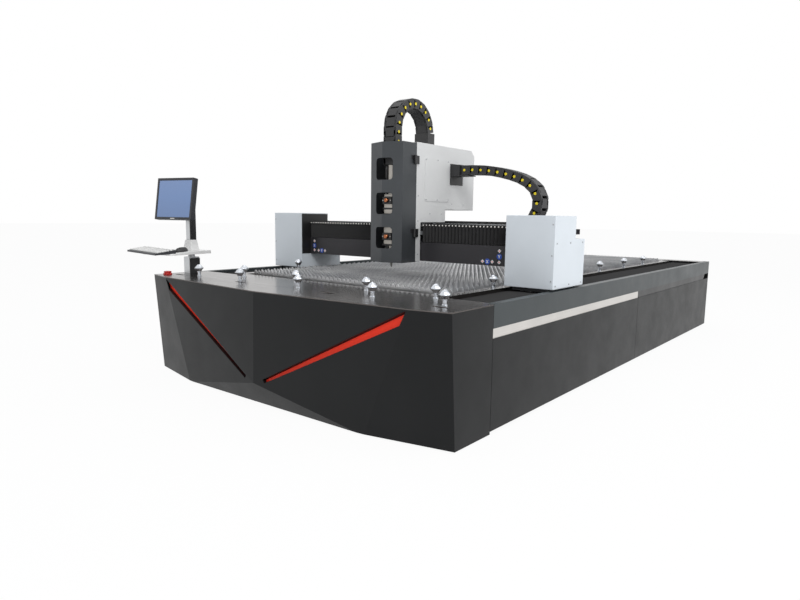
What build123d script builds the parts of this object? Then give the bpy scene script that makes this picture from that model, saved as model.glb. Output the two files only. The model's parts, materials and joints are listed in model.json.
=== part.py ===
"""Open flat-bed fibre laser cutting machine, in millimetres, +Z up, front towards -Y.

The origin is on the floor at the middle of the bed, in the middle of its floor anchors.
"""
import os
from math import atan, cos, degrees, pi, radians, sin, tan

from build123d import *

os.makedirs("parts", exist_ok=True)

# Bed, the driving sizes
BED_WIDTH = 2512
BED_LENGTH = 4756
DECK_HEIGHT = 675
SHEET = 4
OVERRUN = 40
TOUCH_GAP = 0.3

# Faceted front cabinet
FLOOR_GAP = 8
CABINET_DEPTH = 367
FACET_INSET = 220
FACET_STEP = 46
PROW_REACH = 122
APEX_REACH = 132
APEX_HEIGHT = 149
BASE_INSET = 484
BASE_REACH = 50

# Red accent strips in their slots beside the V of the front
SLOT_START_HIGH = 10
SLOT_START_LOW = 78
SLOT_END_SHARE = 0.93
SLOT_WIDTH = 50
SLOT_END_WIDTH = 22
SLOT_SETBACK = 6
STRIP_FLANGE = 14
STRIP_DEPTH = 40
STRIP_REACH = 26
STRIP_THICK = 3

# Front and rear decks
DECK_PLATE = 6
DECK_DEPTH = 475
TROUGH_START = 400
REAR_DECK_DEPTH = 156
TABLE_SETBACK = 100
DECK_SLOT_LENGTH = 92
DECK_SLOT_WIDTH = 26
DECK_SLOT_Y = 108
DECK_SLOT_SHARES = (-0.88, -0.34, 0.29, 0.89)

# Side beams, cross beams and feet
TROUGH_MARGIN = 47
TROUGH_WIDTH = 284
BEAM_FOOT_Z = 80
TROUGH_DEPTH = 90
TUBE_WALL = 10
BEAM_START = 120
BEAM_SETBACK = 60
CROSS_COUNT = 5
CROSS_WIDTH = 100
CROSS_HEIGHT = 120
BEARER_WIDTH = 80
BEARER_Y = 210
FOOT_PLATE = 150
FOOT_THICK = 20
FOOT_STEM_R = 22
STEM_SIDES = 6
FOOT_ROW_SHARES = (-0.42, 0.0, 0.42)
ANCHOR_HOLE_R = 9
ANCHOR_INSET = 45

# Side skins
SKIRT_BOTTOM = 22
TRIM_LOW = 502
TRIM_HIGH = 553
TRIM_LAP = 8
TRIM_THICK = 6
SEAM_Y = 2550
SEAM_GAP = 3
TRIM_SETBACK = 129

# Slat table
LEDGE_INSET = 75
LEDGE_WEB = 10
LEDGE_FOOT = 480
FLANGE_WIDTH = 35
FLANGE_Z = 600
SLAT_CLEAR = 2
SLAT_TOP = 702
SLAT_PITCH = 58
SLAT_THICK = 3
TOOTH_DEPTH = 26
TEETH = 4
TRAY_WALL = 4
TRAY_HEIGHT = 160
TRAY_CLEAR = 12

# Y rails and racks in the troughs
RAIL_WIDTH = 34
RAIL_HEIGHT = 30
RAIL_OFFSET = 60
RACK_OFFSET = 165
RACK_SIZE = 30

# Trough bellows
BELLOWS_TOP = 655
BELLOWS_PLEAT = 14
BELLOWS_SKIN = 8
BELLOWS_SIDE = 6
FRONT_PLEAT_COUNT = 22
REAR_PLEAT_COUNT = 48

# Ball transfer units
BALL_ROW_FRONT_Y = 145
BALL_ROW_BACK_Y = 325
BALL_FRONT_SHARES = (-0.74, -0.38, 0.06, 0.52, 0.887)
BALL_BACK_SHARES = (-0.535, -0.116, 0.356, 0.742)
BALL_SIDE_SHARES = (0.21, 0.57, 0.69, 0.80)
BALL_SIDE_OFFSET = 29
BALL_STEM_R = 11
BALL_STEM_HEIGHT = 34
BALL_CUP_R = 27
BALL_CUP_HEIGHT = 24
BALL_CUP_RIM_R = 21
BALL_TIP_R = 9
BALL_TIP_HEIGHT = 24
BALL_SIDES = 8

# Emergency stop on the front left corner
ESTOP_INSET = 64
ESTOP_Y = 64
ESTOP_COLLAR_R = 30
ESTOP_COLLAR_HEIGHT = 9
ESTOP_BORE_R = 12
ESTOP_CAP_R = 26
ESTOP_CAP_HEIGHT = 8
ESTOP_TRAVEL = 6
ESTOP_STEM_DEPTH = 2.5
ESTOP_SIDES = 12
RUNNING_GAP = 0.05

# Operator station, turned about its post
POST_INSET = 66
POST_Y = 255
POST_WIDTH = 70
POST_DEPTH = 80
POST_COVER = 8
POST_TOP = 790
STATION_TURN = 12
SWIVEL_R = 24
TRAY_BOTTOM = 812
DESK_LEFT = 200
DESK_RIGHT = 90
DESK_FRONT = 265
DESK_BACK = 116
DESK_THICK = 24
DESK_LIP = 11
DESK_KNEE = 50
DESK_CORNER = 14
BRACKET_WIDTH = 80
BRACKET_HEIGHT = 76
BRACKET_TOP_WIDTH = 58
UPPER_WIDTH = 36
UPPER_DEPTH = 54
UPPER_TOP = 1212
UPPER_COVER = 7
KEYBOARD_LENGTH = 425
KEYBOARD_DEPTH = 150
KEYBOARD_FRONT = 12
KEYBOARD_BACK = 24
KEYBOARD_X = -140
KEYBOARD_Y = -185
KEYBOARD_TURN = -16
MOUSE_LENGTH = 105
MOUSE_WIDTH = 60
MOUSE_HEIGHT = 32
MOUSE_X = 30
MOUSE_Y = -70

# Monitor and its tilting bracket
MONITOR_WIDTH = 345
MONITOR_HEIGHT = 292
MONITOR_THICK = 46
MONITOR_BEZEL = 17
MONITOR_SET = 3
MONITOR_X = -24
MONITOR_Z = 1190
MONITOR_LEAN = 9
MONITOR_CORNER = 8
PIVOT_R = 8
PIVOT_LENGTH = 60
PIVOT_REACH = 22
EAR_THICK = 10
EAR_R = 18
LUG_R = 14

# Gantry end covers
COVER_LAP = 10
COVER_OVERHANG = 28
COVER_FRONT = 1065
COVER_REAR = 1500
COVER_UPPER_REAR = 1358
COVER_BOTTOM = 684
COVER_STEP = 975
COVER_TOP = 1115
BEAM_HOLE_GAP = 3

# Gantry beam, saddles and drives
BEAM_END_INSET = 5
GANTRY_BEAM_FRONT = 1230
GANTRY_BEAM_REAR = 1450
GANTRY_BEAM_LOW = 800
GANTRY_BEAM_HIGH = 1030
PANEL_FRONT = 1162
PANEL_LOW = 794
PANEL_HIGH = 922
SADDLE_CLEAR = 25
SADDLE_MARGIN = 9
SADDLE_FRONT = 1105
SADDLE_REAR = 1462
SADDLE_LOW = 662
SADDLE_PLATE = 24
BLOCK_LENGTH = 110
BLOCK_WIDTH = 70
BLOCK_FLOOR_GAP = 6
MOTOR_SIZE = 86
MOTOR_HEIGHT = 170
PINION_R = 30
PINION_BORE_R = 8
PINION_HEIGHT = 28
PINION_TEETH = 12
TOOTH_OUT = 3
SHAFT_HOLE_R = 12
MOTOR_CORNER = 10
TAB_LENGTH = 90
BLOCK_FRONT = 1215

# X rails and bellows on the beam
X_RAIL_WIDTH = 28
X_RAIL_HEIGHT = 24
X_RAIL_Z = 985
X_RAIL_Y = 1380
X_BELLOWS_FRONT = 1168
X_BELLOWS_LOW = 924
X_BELLOWS_HIGH = 1050
X_BELLOWS_PLEAT = 14
X_BELLOWS_SKIN = 8
X_BELLOWS_LIP = 10
X_BELLOWS_INSET = 25
LEFT_PLEAT_COUNT = 26
RIGHT_PLEAT_COUNT = 24

# Carriage box
HEAD_X = 59
HEAD_WIDTH = 278
BOX_FRONT = 1102
BOX_STRIP_REAR = 1156
BOX_STRIP_LOW = 790
BOX_FLOOR = 1060
BOX_MID = 1452
BOX_REAR_LOW = 1150
BOX_REAR = 1822
BOX_TOP = 1596
BOX_CHAMFER = 42
ACCESS_FRONT = 1196
ACCESS_REAR = 1487
ACCESS_LOW = 1205
ACCESS_HIGH = 1505
ACCESS_THICK = 3
ACCESS_CORNER = 12
CARRIAGE_PLATE = 26
CARRIAGE_SIDE_GAP = 16
CARRIAGE_FLOOR = 1084
Z_RAIL_WIDTH = 24
Z_RAIL_DEPTH = 20
Z_RAIL_LOW = 840
Z_RAIL_HIGH = 1440
Z_RAIL_SPREAD = 62
Z_MOTOR_SIZE = 80
Z_MOTOR_LOW = 1335
X_BLOCK_LENGTH = 90
X_BLOCK_SPREAD = 60
X_BLOCK_WIDTH = 60
X_BLOCK_CLEAR = 6
BLOCK_WINDOW_GAP = 4
CARRIAGE_LOW = 830
CARRIAGE_HIGH = 1460
CARRIAGE_REAR = 1440

# Front cover of the head, hinged on the right
SHELL_SIDE_FRONT = 952
SHELL_PROW = 905
SHELL_LOW = 788
SHELL_HIGH = 1588
SHELL_WALL = 4
SHELL_GAP = 1
WINDOW_WIDTH = 144
WINDOW_CORNER = 24
WINDOW_LOWS = (883, 1112, 1340)
WINDOW_HEIGHT = 143
HINGE_HEIGHTS = (960, 1450)
HINGE_LENGTH = 56
HINGE_OFFSET = 13
HINGE_Y = 1072
HINGE_WEB = 8
HINGE_LIFT = 1
HINGE_PIN_R = 5
HINGE_KNUCKLE_R = 10
HINGE_LEAF = 26
HINGE_LEAF_THICK = 3

# Laser head on the Z slide
SLIDE_WIDTH = 156
SLIDE_THICK = 18
SLIDE_BLOCK = 14
SLIDE_LOW = 850
SLIDE_HIGH = 1290
HEAD_Y = 1012
HEAD_BODY_WIDTH = 92
HEAD_BODY_DEPTH = 84
HEAD_BODY_LOW = 905
HEAD_BODY_HIGH = 1245
COLLIMATOR_R = 33
COLLIMATOR_HIGH = 1440
NECK_R = 24
NECK_LOW = 800
NOZZLE_R = 13
NOZZLE_TIP_R = 4
NOZZLE_LOW = 752
HEAD_CORNER = 12
LUG_WIDTH = 60

# Drag chains
LINK_WIDTH = 110
LINK_DEPTH = 70
LINK_GAP = 0.4
Z_LINK_PITCH = 62
Z_LEG_LINK_COUNT = 4
Z_BEND_LINK_COUNT = 9
X_LINK_PITCH = 68
X_CHAIN_Y = 1560
X_CHAIN_HIGH = 1432
X_CHAIN_START = 279
X_CHAIN_DROPS = (0, 2, 4, 8, 11, 14, 18, 26, 40, 64, 90, 116, 140, 162)
X_LOWER_LINK_COUNT = 11
CONNECTOR_LIP = 4
X_BRACKET_FRONT = 1500
X_BRACKET_REAR = 1660
X_BRACKET_LOW = 1330
X_BRACKET_HIGH = 1480
X_BRACKET_REACH = 148
X_BRACKET_PLATE = 6
CHAIN_TRAY_PLATE = 4
CHAIN_TRAY_WALL = 30
CHAIN_TRAY_INSET = 45
CHAIN_TRAY_CLEAR = 4
CHAIN_TRAY_SPARE = 40
TRAY_ARM_COUNT = 5
TRAY_ARM = 30

HALF = BED_WIDTH / 2
FRONT = -BED_LENGTH / 2
REAR = BED_LENGTH / 2
DECK_UNDER = DECK_HEIGHT - DECK_PLATE
BOX_LEFT = HEAD_X - HEAD_WIDTH / 2
BOX_RIGHT = HEAD_X + HEAD_WIDTH / 2

# Places worked out from the bed's width, length and height
BASE_HALF = HALF - BASE_INSET
TROUGH_OUTER = HALF - TROUGH_MARGIN
TROUGH_INNER = TROUGH_OUTER - TROUGH_WIDTH
TROUGH_FLOOR = DECK_HEIGHT - TROUGH_DEPTH
TROUGH_END = BED_LENGTH - REAR_DECK_DEPTH
TABLE_END = TROUGH_END - TABLE_SETBACK
TRIM_END = BED_LENGTH - TRIM_SETBACK
LEDGE_REACH = TROUGH_INNER - LEDGE_INSET
FLANGE_REACH = LEDGE_REACH - FLANGE_WIDTH
RAIL_X = TROUGH_INNER + RAIL_OFFSET
RACK_X = TROUGH_INNER + RACK_OFFSET
BALL_SIDE_X = LEDGE_REACH + BALL_SIDE_OFFSET
POST_X = HALF - POST_INSET
ESTOP_X = HALF - ESTOP_INSET
COVER_INNER = TROUGH_INNER - COVER_LAP
COVER_OUTER = TROUGH_OUTER + COVER_OVERHANG
SADDLE_INNER = TROUGH_INNER + SADDLE_CLEAR
SADDLE_OUTER = TROUGH_OUTER - SADDLE_MARGIN
GANTRY_BEAM_HALF = SADDLE_OUTER - BEAM_END_INSET
X_BELLOWS_END = GANTRY_BEAM_HALF - X_BELLOWS_INSET
CHAIN_TRAY_END = GANTRY_BEAM_HALF - CHAIN_TRAY_INSET


def back(distance):
    """The Y of a point this far behind the bed's front edge."""
    return FRONT + distance


def block(low, high, mode=Mode.ADD):
    """A box between two corners, in the part that is being built."""
    size = [b - a for a, b in zip(low, high)]
    middle = Vector(*[(a + b) / 2 for a, b in zip(low, high)])
    with Locations(middle):
        Box(*size, mode=mode)


def save(builder, name):
    """Labels a finished piece and writes it."""
    builder.part.label = name
    export_step(builder.part, f"parts/{name}.step")


def outline(points):
    """A closed face through the points, in the sketch that is being drawn."""
    Polygon(*points, align=None)


def facet(a, b, c):
    """The plane through three corners, facing the front."""
    normal = (Vector(b) - Vector(a)).cross(Vector(c) - Vector(a))
    if normal.Y > 0:
        normal = -normal
    return Plane(origin=a, z_dir=normal)


# Corners of the faceted front, left side
TOP_CORNER = (-HALF, FRONT, DECK_HEIGHT)
TOP_BEND = (-HALF + FACET_INSET, back(-FACET_STEP), DECK_HEIGHT)
PROW_TOP = (0, back(-PROW_REACH), DECK_HEIGHT)
PROW_APEX = (0, back(-APEX_REACH), APEX_HEIGHT)
BASE_LEFT = (-BASE_HALF, back(-BASE_REACH), 0)
BASE_RIGHT = (BASE_HALF, back(-BASE_REACH), 0)


def mirrored(point):
    """The same point on the right side."""
    return (-point[0], point[1], point[2])


def prow_planes():
    """Every facet of the front, left ones first."""
    corners = [
        (TOP_CORNER, TOP_BEND, BASE_LEFT),
        (TOP_BEND, PROW_APEX, BASE_LEFT),
        (TOP_BEND, PROW_TOP, PROW_APEX),
    ]
    right = [tuple(mirrored(p) for p in three) for three in corners]
    return [facet(*three) for three in corners + right + [(PROW_APEX, BASE_LEFT, BASE_RIGHT)]]


def prow(inset, open_by):
    """The faceted front block with its faces moved in, and its open sides moved out."""
    with BuildPart() as body:
        block(
            (-HALF + inset, back(-APEX_REACH - OVERRUN), FLOOR_GAP - open_by),
            (HALF - inset, back(CABINET_DEPTH) + open_by, DECK_UNDER + open_by),
        )
        for plane in prow_planes():
            split(bisect_by=plane.offset(-inset), keep=Keep.BOTTOM)
    return body.part


def strip_frame():
    """The slot's plane on the left lower facet: x along the V, y towards the V, z outwards."""
    plane = facet(TOP_BEND, PROW_APEX, BASE_LEFT)
    along = Vector(PROW_APEX) - Vector(TOP_BEND)
    return Plane(origin=TOP_BEND, x_dir=along, z_dir=plane.z_dir), along.length


# Front cabinet: one folded sheet with facets and two slots
accent_plane, accent_length = strip_frame()
slot_end = accent_length * SLOT_END_SHARE
slot_high_corner = (SLOT_START_LOW, -SLOT_SETBACK - SLOT_WIDTH)
slot_low_corner = (slot_end, -SLOT_SETBACK - SLOT_END_WIDTH)
with BuildPart() as slots:
    with BuildSketch(accent_plane):
        outline(
            [
                slot_high_corner,
                slot_low_corner,
                (slot_end, -SLOT_SETBACK),
                (SLOT_START_HIGH, -SLOT_SETBACK),
            ]
        )
    extrude(amount=OVERRUN, both=True)
    mirror(about=Plane.YZ)

outer_prow = prow(0, 0)
inner_prow = prow(SHEET, OVERRUN)
with BuildPart() as front_cabinet:
    add(outer_prow)
    add(inner_prow, mode=Mode.SUBTRACT)
    add(slots.part, mode=Mode.SUBTRACT)
save(front_cabinet, "front_cabinet")

# Accent strips: ledges slanting in from the lower edges of the tapering slots, lapped on the sheet
strip_low = accent_plane.from_local_coords((*slot_low_corner, 0))
strip_high = accent_plane.from_local_coords((*slot_high_corner, 0))
strip_path = strip_low - strip_high
strip_lead = SLOT_START_LOW - SLOT_START_HIGH
strip_start = strip_high - strip_path.normalized() * strip_lead
strip_plane = Plane(strip_start, x_dir=accent_plane.z_dir.cross(strip_path), z_dir=strip_path)
with BuildPart() as accent_strips:
    with BuildSketch(strip_plane):
        outline(
            [
                (-STRIP_FLANGE, -SHEET),
                (0, -SHEET),
                (STRIP_REACH, -SHEET - STRIP_DEPTH),
                (STRIP_REACH, -SHEET - STRIP_DEPTH - STRIP_THICK),
                (0, -SHEET - STRIP_THICK),
                (-STRIP_FLANGE, -SHEET - STRIP_THICK),
            ]
        )
    extrude(amount=strip_path.length + strip_lead)
    strip_over = accent_strips.part.bounding_box().size
    block(
        (-HALF, FRONT - strip_over.Y - OVERRUN, DECK_UNDER - TOUCH_GAP),
        (0, FRONT + strip_over.Y + OVERRUN, DECK_UNDER + strip_over.Z),
        Mode.SUBTRACT,
    )
    add(inner_prow, mode=Mode.INTERSECT)
    mirror(about=Plane.YZ)
save(accent_strips, "accent_strips")

# Front deck: top plate with oval lifting slots
with BuildPart() as front_deck:
    with BuildSketch(Plane.XY.offset(DECK_UNDER)):
        left = [
            (PROW_TOP[0], PROW_TOP[1]),
            (TOP_BEND[0], TOP_BEND[1]),
            (TOP_CORNER[0], TOP_CORNER[1]),
            (-HALF, back(CABINET_DEPTH)),
            (-TROUGH_OUTER, back(CABINET_DEPTH)),
            (-TROUGH_OUTER, back(TROUGH_START)),
            (-LEDGE_REACH, back(TROUGH_START)),
            (-LEDGE_REACH, back(DECK_DEPTH)),
        ]
        outline(left + [(-x, y) for x, y in reversed(left[1:])])
        with Locations(*[(share * HALF, back(DECK_SLOT_Y)) for share in DECK_SLOT_SHARES]):
            SlotOverall(DECK_SLOT_LENGTH, DECK_SLOT_WIDTH, mode=Mode.SUBTRACT)
    extrude(amount=DECK_PLATE)
save(front_deck, "front_deck")

# Rear deck: plate behind the slat table
with BuildPart() as rear_deck:
    with BuildSketch(Plane.XY.offset(DECK_UNDER)):
        rear_edge = REAR - SHEET
        outline(
            [
                (-LEDGE_REACH, back(TABLE_END)),
                (LEDGE_REACH, back(TABLE_END)),
                (LEDGE_REACH, back(TROUGH_END)),
                (TROUGH_OUTER, back(TROUGH_END)),
                (TROUGH_OUTER, rear_edge),
                (-TROUGH_OUTER, rear_edge),
                (-TROUGH_OUTER, back(TROUGH_END)),
                (-LEDGE_REACH, back(TROUGH_END)),
            ]
        )
    extrude(amount=DECK_PLATE)
save(rear_deck, "rear_deck")

# Side beams: long welded box tubes that carry the rails
beam_rear = REAR - BEAM_SETBACK
with BuildPart() as side_beams:
    block((TROUGH_INNER, back(BEAM_START), BEAM_FOOT_Z), (TROUGH_OUTER, beam_rear, TROUGH_FLOOR))
    block(
        (TROUGH_INNER + TUBE_WALL, back(BEAM_START) - OVERRUN, BEAM_FOOT_Z + TUBE_WALL),
        (TROUGH_OUTER - TUBE_WALL, beam_rear + OVERRUN, TROUGH_FLOOR - TUBE_WALL),
        Mode.SUBTRACT,
    )
    mirror(about=Plane.YZ)
save(side_beams, "side_beams")

# Cross beams low down, and the two bearers under the decks
cross_room = TABLE_END - DECK_DEPTH - CROSS_WIDTH
rear_bearer = (TROUGH_END + BED_LENGTH - SHEET) / 2
with BuildPart() as cross_beams:
    for i in range(CROSS_COUNT):
        y = back(DECK_DEPTH + cross_room * i / (CROSS_COUNT - 1))
        block(
            (-TROUGH_INNER, y, BEAM_FOOT_Z),
            (TROUGH_INNER, y + CROSS_WIDTH, BEAM_FOOT_Z + CROSS_HEIGHT),
        )
    block(
        (-TROUGH_OUTER, back(BEARER_Y), TROUGH_FLOOR),
        (TROUGH_OUTER, back(BEARER_Y) + BEARER_WIDTH, DECK_UNDER),
    )
    block(
        (-TROUGH_OUTER, back(rear_bearer) - BEARER_WIDTH / 2, TROUGH_FLOOR),
        (TROUGH_OUTER, back(rear_bearer) + BEARER_WIDTH / 2, DECK_UNDER),
    )
save(cross_beams, "cross_beams")

# Levelling feet: anchor plates with jack screws up to the side beams
foot_x = (TROUGH_INNER + TROUGH_OUTER) / 2
with BuildPart() as levelling_feet:
    for share in FOOT_ROW_SHARES:
        y = share * BED_LENGTH
        with Locations((foot_x, y, FOOT_THICK / 2)):
            Box(FOOT_PLATE, FOOT_PLATE, FOOT_THICK)
        with BuildSketch(Plane((foot_x, y, FOOT_THICK))):
            RegularPolygon(FOOT_STEM_R, STEM_SIDES)
        extrude(amount=BEAM_FOOT_Z - FOOT_THICK)
        with Locations((foot_x - ANCHOR_INSET, y, FOOT_THICK / 2)):
            Cylinder(ANCHOR_HOLE_R, FOOT_THICK + OVERRUN, mode=Mode.SUBTRACT)
    mirror(about=Plane.YZ)
save(levelling_feet, "levelling_feet")


def skirt(start, end):
    """A side panel: a sheet pan whose flanges reach the side beam."""
    block((TROUGH_OUTER, start, SKIRT_BOTTOM), (HALF, end, TRIM_LOW))
    block(
        (TROUGH_OUTER - OVERRUN, start + SHEET, SKIRT_BOTTOM + SHEET),
        (HALF - SHEET, end - SHEET, TRIM_LOW - SHEET),
        Mode.SUBTRACT,
    )


# Side panels, one pair before the seam and one behind it
with BuildPart() as side_panels_front:
    skirt(back(CABINET_DEPTH + SEAM_GAP), back(SEAM_Y))
    mirror(about=Plane.YZ)
save(side_panels_front, "side_panels_front")

with BuildPart() as side_panels_rear:
    skirt(back(SEAM_Y + SEAM_GAP), REAR - SHEET)
    mirror(about=Plane.YZ)
save(side_panels_rear, "side_panels_rear")

# Rail guards: folded channels along the top of each side
with BuildPart() as rail_guards:
    with BuildSketch(Plane.XZ.offset(-back(CABINET_DEPTH + SEAM_GAP))):
        outline(
            [
                (TROUGH_OUTER, TRIM_LOW + SHEET),
                (TROUGH_OUTER + SHEET, TRIM_LOW + SHEET),
                (TROUGH_OUTER + SHEET, DECK_HEIGHT - SHEET),
                (HALF - SHEET, DECK_HEIGHT - SHEET),
                (HALF - SHEET, TRIM_HIGH),
                (HALF, TRIM_HIGH),
                (HALF, DECK_HEIGHT),
                (TROUGH_OUTER, DECK_HEIGHT),
            ]
        )
    extrude(amount=-(BED_LENGTH - CABINET_DEPTH - SEAM_GAP - SHEET))
    mirror(about=Plane.YZ)
save(rail_guards, "rail_guards")

# Trim strips in the groove between guard and panels: bright in front, black behind
trim_outer = HALF - SHEET
trim_inner = trim_outer - TRIM_THICK
with BuildPart() as trim_strips_bright:
    block(
        (trim_inner, back(CABINET_DEPTH + SEAM_GAP), TRIM_LOW),
        (trim_outer, back(SEAM_Y), TRIM_HIGH + TRIM_LAP),
    )
    mirror(about=Plane.YZ)
save(trim_strips_bright, "trim_strips_bright")

with BuildPart() as trim_strips_black:
    with BuildSketch(Plane.YZ.offset(trim_inner)):
        outline(
            [
                (back(SEAM_Y + SEAM_GAP), TRIM_LOW),
                (back(TRIM_END - (TRIM_HIGH - TRIM_LOW)), TRIM_LOW),
                (back(TRIM_END), TRIM_HIGH + TRIM_LAP),
                (back(SEAM_Y + SEAM_GAP), TRIM_HIGH + TRIM_LAP),
            ]
        )
    extrude(amount=TRIM_THICK)
    mirror(about=Plane.YZ)
save(trim_strips_black, "trim_strips_black")

# Rear panel: a sheet with flanges that reach the side beams
with BuildPart() as rear_panel:
    block((-HALF, REAR - SHEET, SKIRT_BOTTOM), (HALF, REAR, DECK_HEIGHT))
    block(
        (-TROUGH_OUTER + TUBE_WALL, beam_rear, BEAM_FOOT_Z),
        (-TROUGH_INNER - TUBE_WALL, REAR - SHEET, BEAM_FOOT_Z + TUBE_WALL),
    )
    block(
        (TROUGH_INNER + TUBE_WALL, beam_rear, BEAM_FOOT_Z),
        (TROUGH_OUTER - TUBE_WALL, REAR - SHEET, BEAM_FOOT_Z + TUBE_WALL),
    )
save(rear_panel, "rear_panel")

# Slat ledges: channels along the table, with a top strip for ball units and a foot for slats
ledge_outer = TROUGH_INNER
with BuildPart() as slat_ledges:
    with BuildSketch(Plane.XZ.offset(-back(DECK_DEPTH))):
        outline(
            [
                (ledge_outer, LEDGE_FOOT),
                (ledge_outer, DECK_HEIGHT),
                (LEDGE_REACH, DECK_HEIGHT),
                (LEDGE_REACH, DECK_UNDER),
                (ledge_outer - LEDGE_WEB, DECK_UNDER),
                (ledge_outer - LEDGE_WEB, FLANGE_Z),
                (FLANGE_REACH, FLANGE_Z),
                (FLANGE_REACH, FLANGE_Z - DECK_PLATE),
                (ledge_outer - LEDGE_WEB, FLANGE_Z - DECK_PLATE),
                (ledge_outer - LEDGE_WEB, LEDGE_FOOT),
            ]
        )
    extrude(amount=-(TABLE_END - DECK_DEPTH))
    mirror(about=Plane.YZ)
save(slat_ledges, "slat_ledges")

# Slats: upright toothed plates across the table, standing on the ledges
slat_half = LEDGE_REACH - SLAT_CLEAR
tooth_pitch = 2 * slat_half / TEETH
slat_count = int((TABLE_END - DECK_DEPTH - SLAT_PITCH) // SLAT_PITCH)
slat_room = (slat_count - 1) * SLAT_PITCH
slat_start = back((DECK_DEPTH + TABLE_END - slat_room) / 2)
with BuildPart() as slats:
    with BuildSketch(Plane.XZ.offset(-slat_start)) as slat_outline:
        crest = [(-slat_half, SLAT_TOP - TOOTH_DEPTH)]
        for i in range(TEETH):
            crest.append((-slat_half + tooth_pitch * (i + 1 / 2), SLAT_TOP))
            crest.append((-slat_half + tooth_pitch * (i + 1), SLAT_TOP - TOOTH_DEPTH))
        outline(crest + [(slat_half, FLANGE_Z), (-slat_half, FLANGE_Z)])
    slat = extrude(amount=SLAT_THICK / 2, both=True)
    with Locations(*[(0, SLAT_PITCH * i, 0) for i in range(1, slat_count)]):
        add(slat)
save(slats, "slats")

# Slag tray: a pan on the cross beams under the slats
tray_floor = BEAM_FOOT_Z + CROSS_HEIGHT
tray_half = TROUGH_INNER - LEDGE_WEB - TRAY_CLEAR
with BuildPart() as slag_tray:
    low = (-tray_half, back(DECK_DEPTH), tray_floor)
    high = (tray_half, back(TABLE_END), tray_floor + TRAY_HEIGHT)
    block(low, high)
    block(
        tuple(v + TRAY_WALL for v in low),
        (high[0] - TRAY_WALL, high[1] - TRAY_WALL, high[2] + OVERRUN),
        Mode.SUBTRACT,
    )
save(slag_tray, "slag_tray")

# Rails and racks on the side beams
with BuildPart() as y_rails:
    block(
        (RAIL_X - RAIL_WIDTH / 2, back(TROUGH_START), TROUGH_FLOOR),
        (RAIL_X + RAIL_WIDTH / 2, back(TROUGH_END), TROUGH_FLOOR + RAIL_HEIGHT),
    )
    mirror(about=Plane.YZ)
save(y_rails, "y_rails")

with BuildPart() as y_racks:
    block(
        (RACK_X, back(TROUGH_START), TROUGH_FLOOR),
        (RACK_X + RACK_SIZE, back(TROUGH_END), TROUGH_FLOOR + RACK_SIZE),
    )
    mirror(about=Plane.YZ)
save(y_racks, "y_racks")


def pleats(start, end, count, low, high):
    """Corners of a zigzag of folds from start to end between two levels."""
    pitch = (end - start) / count
    points = [(start, low)]
    for i in range(count):
        points.append((start + pitch * (i + 1 / 2), high))
        points.append((start + pitch * (i + 1), low))
    return points


def trough_bellows(start, end, count):
    """Folded covers over both troughs, hollow over the rail and rack."""
    valley = BELLOWS_TOP - BELLOWS_PLEAT
    inner = TROUGH_INNER + BELLOWS_SIDE
    outer = TROUGH_OUTER - BELLOWS_SIDE
    with BuildSketch(Plane.YZ.offset(inner)) as folds:
        outline(
            pleats(start, end, count, valley, BELLOWS_TOP)
            + [(end, TROUGH_FLOOR + TOUCH_GAP), (start, TROUGH_FLOOR + TOUCH_GAP)]
        )
    extrude(folds.sketch, amount=outer - inner)
    block(
        (inner + BELLOWS_SIDE, start - OVERRUN, TROUGH_FLOOR - OVERRUN),
        (outer - BELLOWS_SIDE, end + OVERRUN, valley - BELLOWS_SKIN),
        Mode.SUBTRACT,
    )
    mirror(about=Plane.YZ)


# Trough bellows before and behind the gantry
with BuildPart() as y_bellows_front:
    trough_bellows(back(TROUGH_START), back(SADDLE_FRONT - TOUCH_GAP), FRONT_PLEAT_COUNT)
save(y_bellows_front, "y_bellows_front")

with BuildPart() as y_bellows_rear:
    trough_bellows(back(SADDLE_REAR + TOUCH_GAP), back(TROUGH_END), REAR_PLEAT_COUNT)
save(y_bellows_rear, "y_bellows_rear")

# Ball transfer units on the front deck and along the table
ball_places = [(share * HALF, back(BALL_ROW_FRONT_Y)) for share in BALL_FRONT_SHARES]
ball_places += [(share * HALF, back(BALL_ROW_BACK_Y)) for share in BALL_BACK_SHARES]
for side in (-1, 1):
    ball_places += [(side * BALL_SIDE_X, back(share * BED_LENGTH)) for share in BALL_SIDE_SHARES]
cup_low = DECK_HEIGHT + BALL_STEM_HEIGHT
cup_high = cup_low + BALL_CUP_HEIGHT


def eight_sided(lower, upper, z, height):
    """An eight-sided taper at every ball unit, drawn from its wider end."""
    lean = degrees(atan(abs(lower - upper) * cos(pi / BALL_SIDES) / height))
    start = z if lower >= upper else z + height
    rise = height if lower >= upper else -height
    with BuildSketch(Plane.XY.offset(start)) as wide_end:
        with Locations(*ball_places):
            RegularPolygon(max(lower, upper), BALL_SIDES)
    extrude(wide_end.sketch, amount=rise, taper=lean)


with BuildPart() as ball_unit_bases:
    eight_sided(BALL_STEM_R, BALL_STEM_R, DECK_HEIGHT, BALL_STEM_HEIGHT)
    eight_sided(BALL_STEM_R, BALL_CUP_R, cup_low, BALL_CUP_HEIGHT)
save(ball_unit_bases, "ball_unit_bases")

with BuildPart() as ball_unit_heads:
    eight_sided(BALL_CUP_RIM_R, BALL_TIP_R, cup_high, BALL_TIP_HEIGHT)
save(ball_unit_heads, "ball_unit_heads")

# Emergency stop: collar on the deck and mushroom button in it
estop_plane = Plane((-ESTOP_X, back(ESTOP_Y), DECK_HEIGHT))
collar_high = ESTOP_COLLAR_HEIGHT
with BuildPart() as estop_collar:
    with BuildSketch(estop_plane):
        RegularPolygon(ESTOP_COLLAR_R, ESTOP_SIDES)
        RegularPolygon(ESTOP_BORE_R, ESTOP_SIDES, mode=Mode.SUBTRACT)
    extrude(amount=collar_high)
save(estop_collar, "estop_collar")

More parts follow.
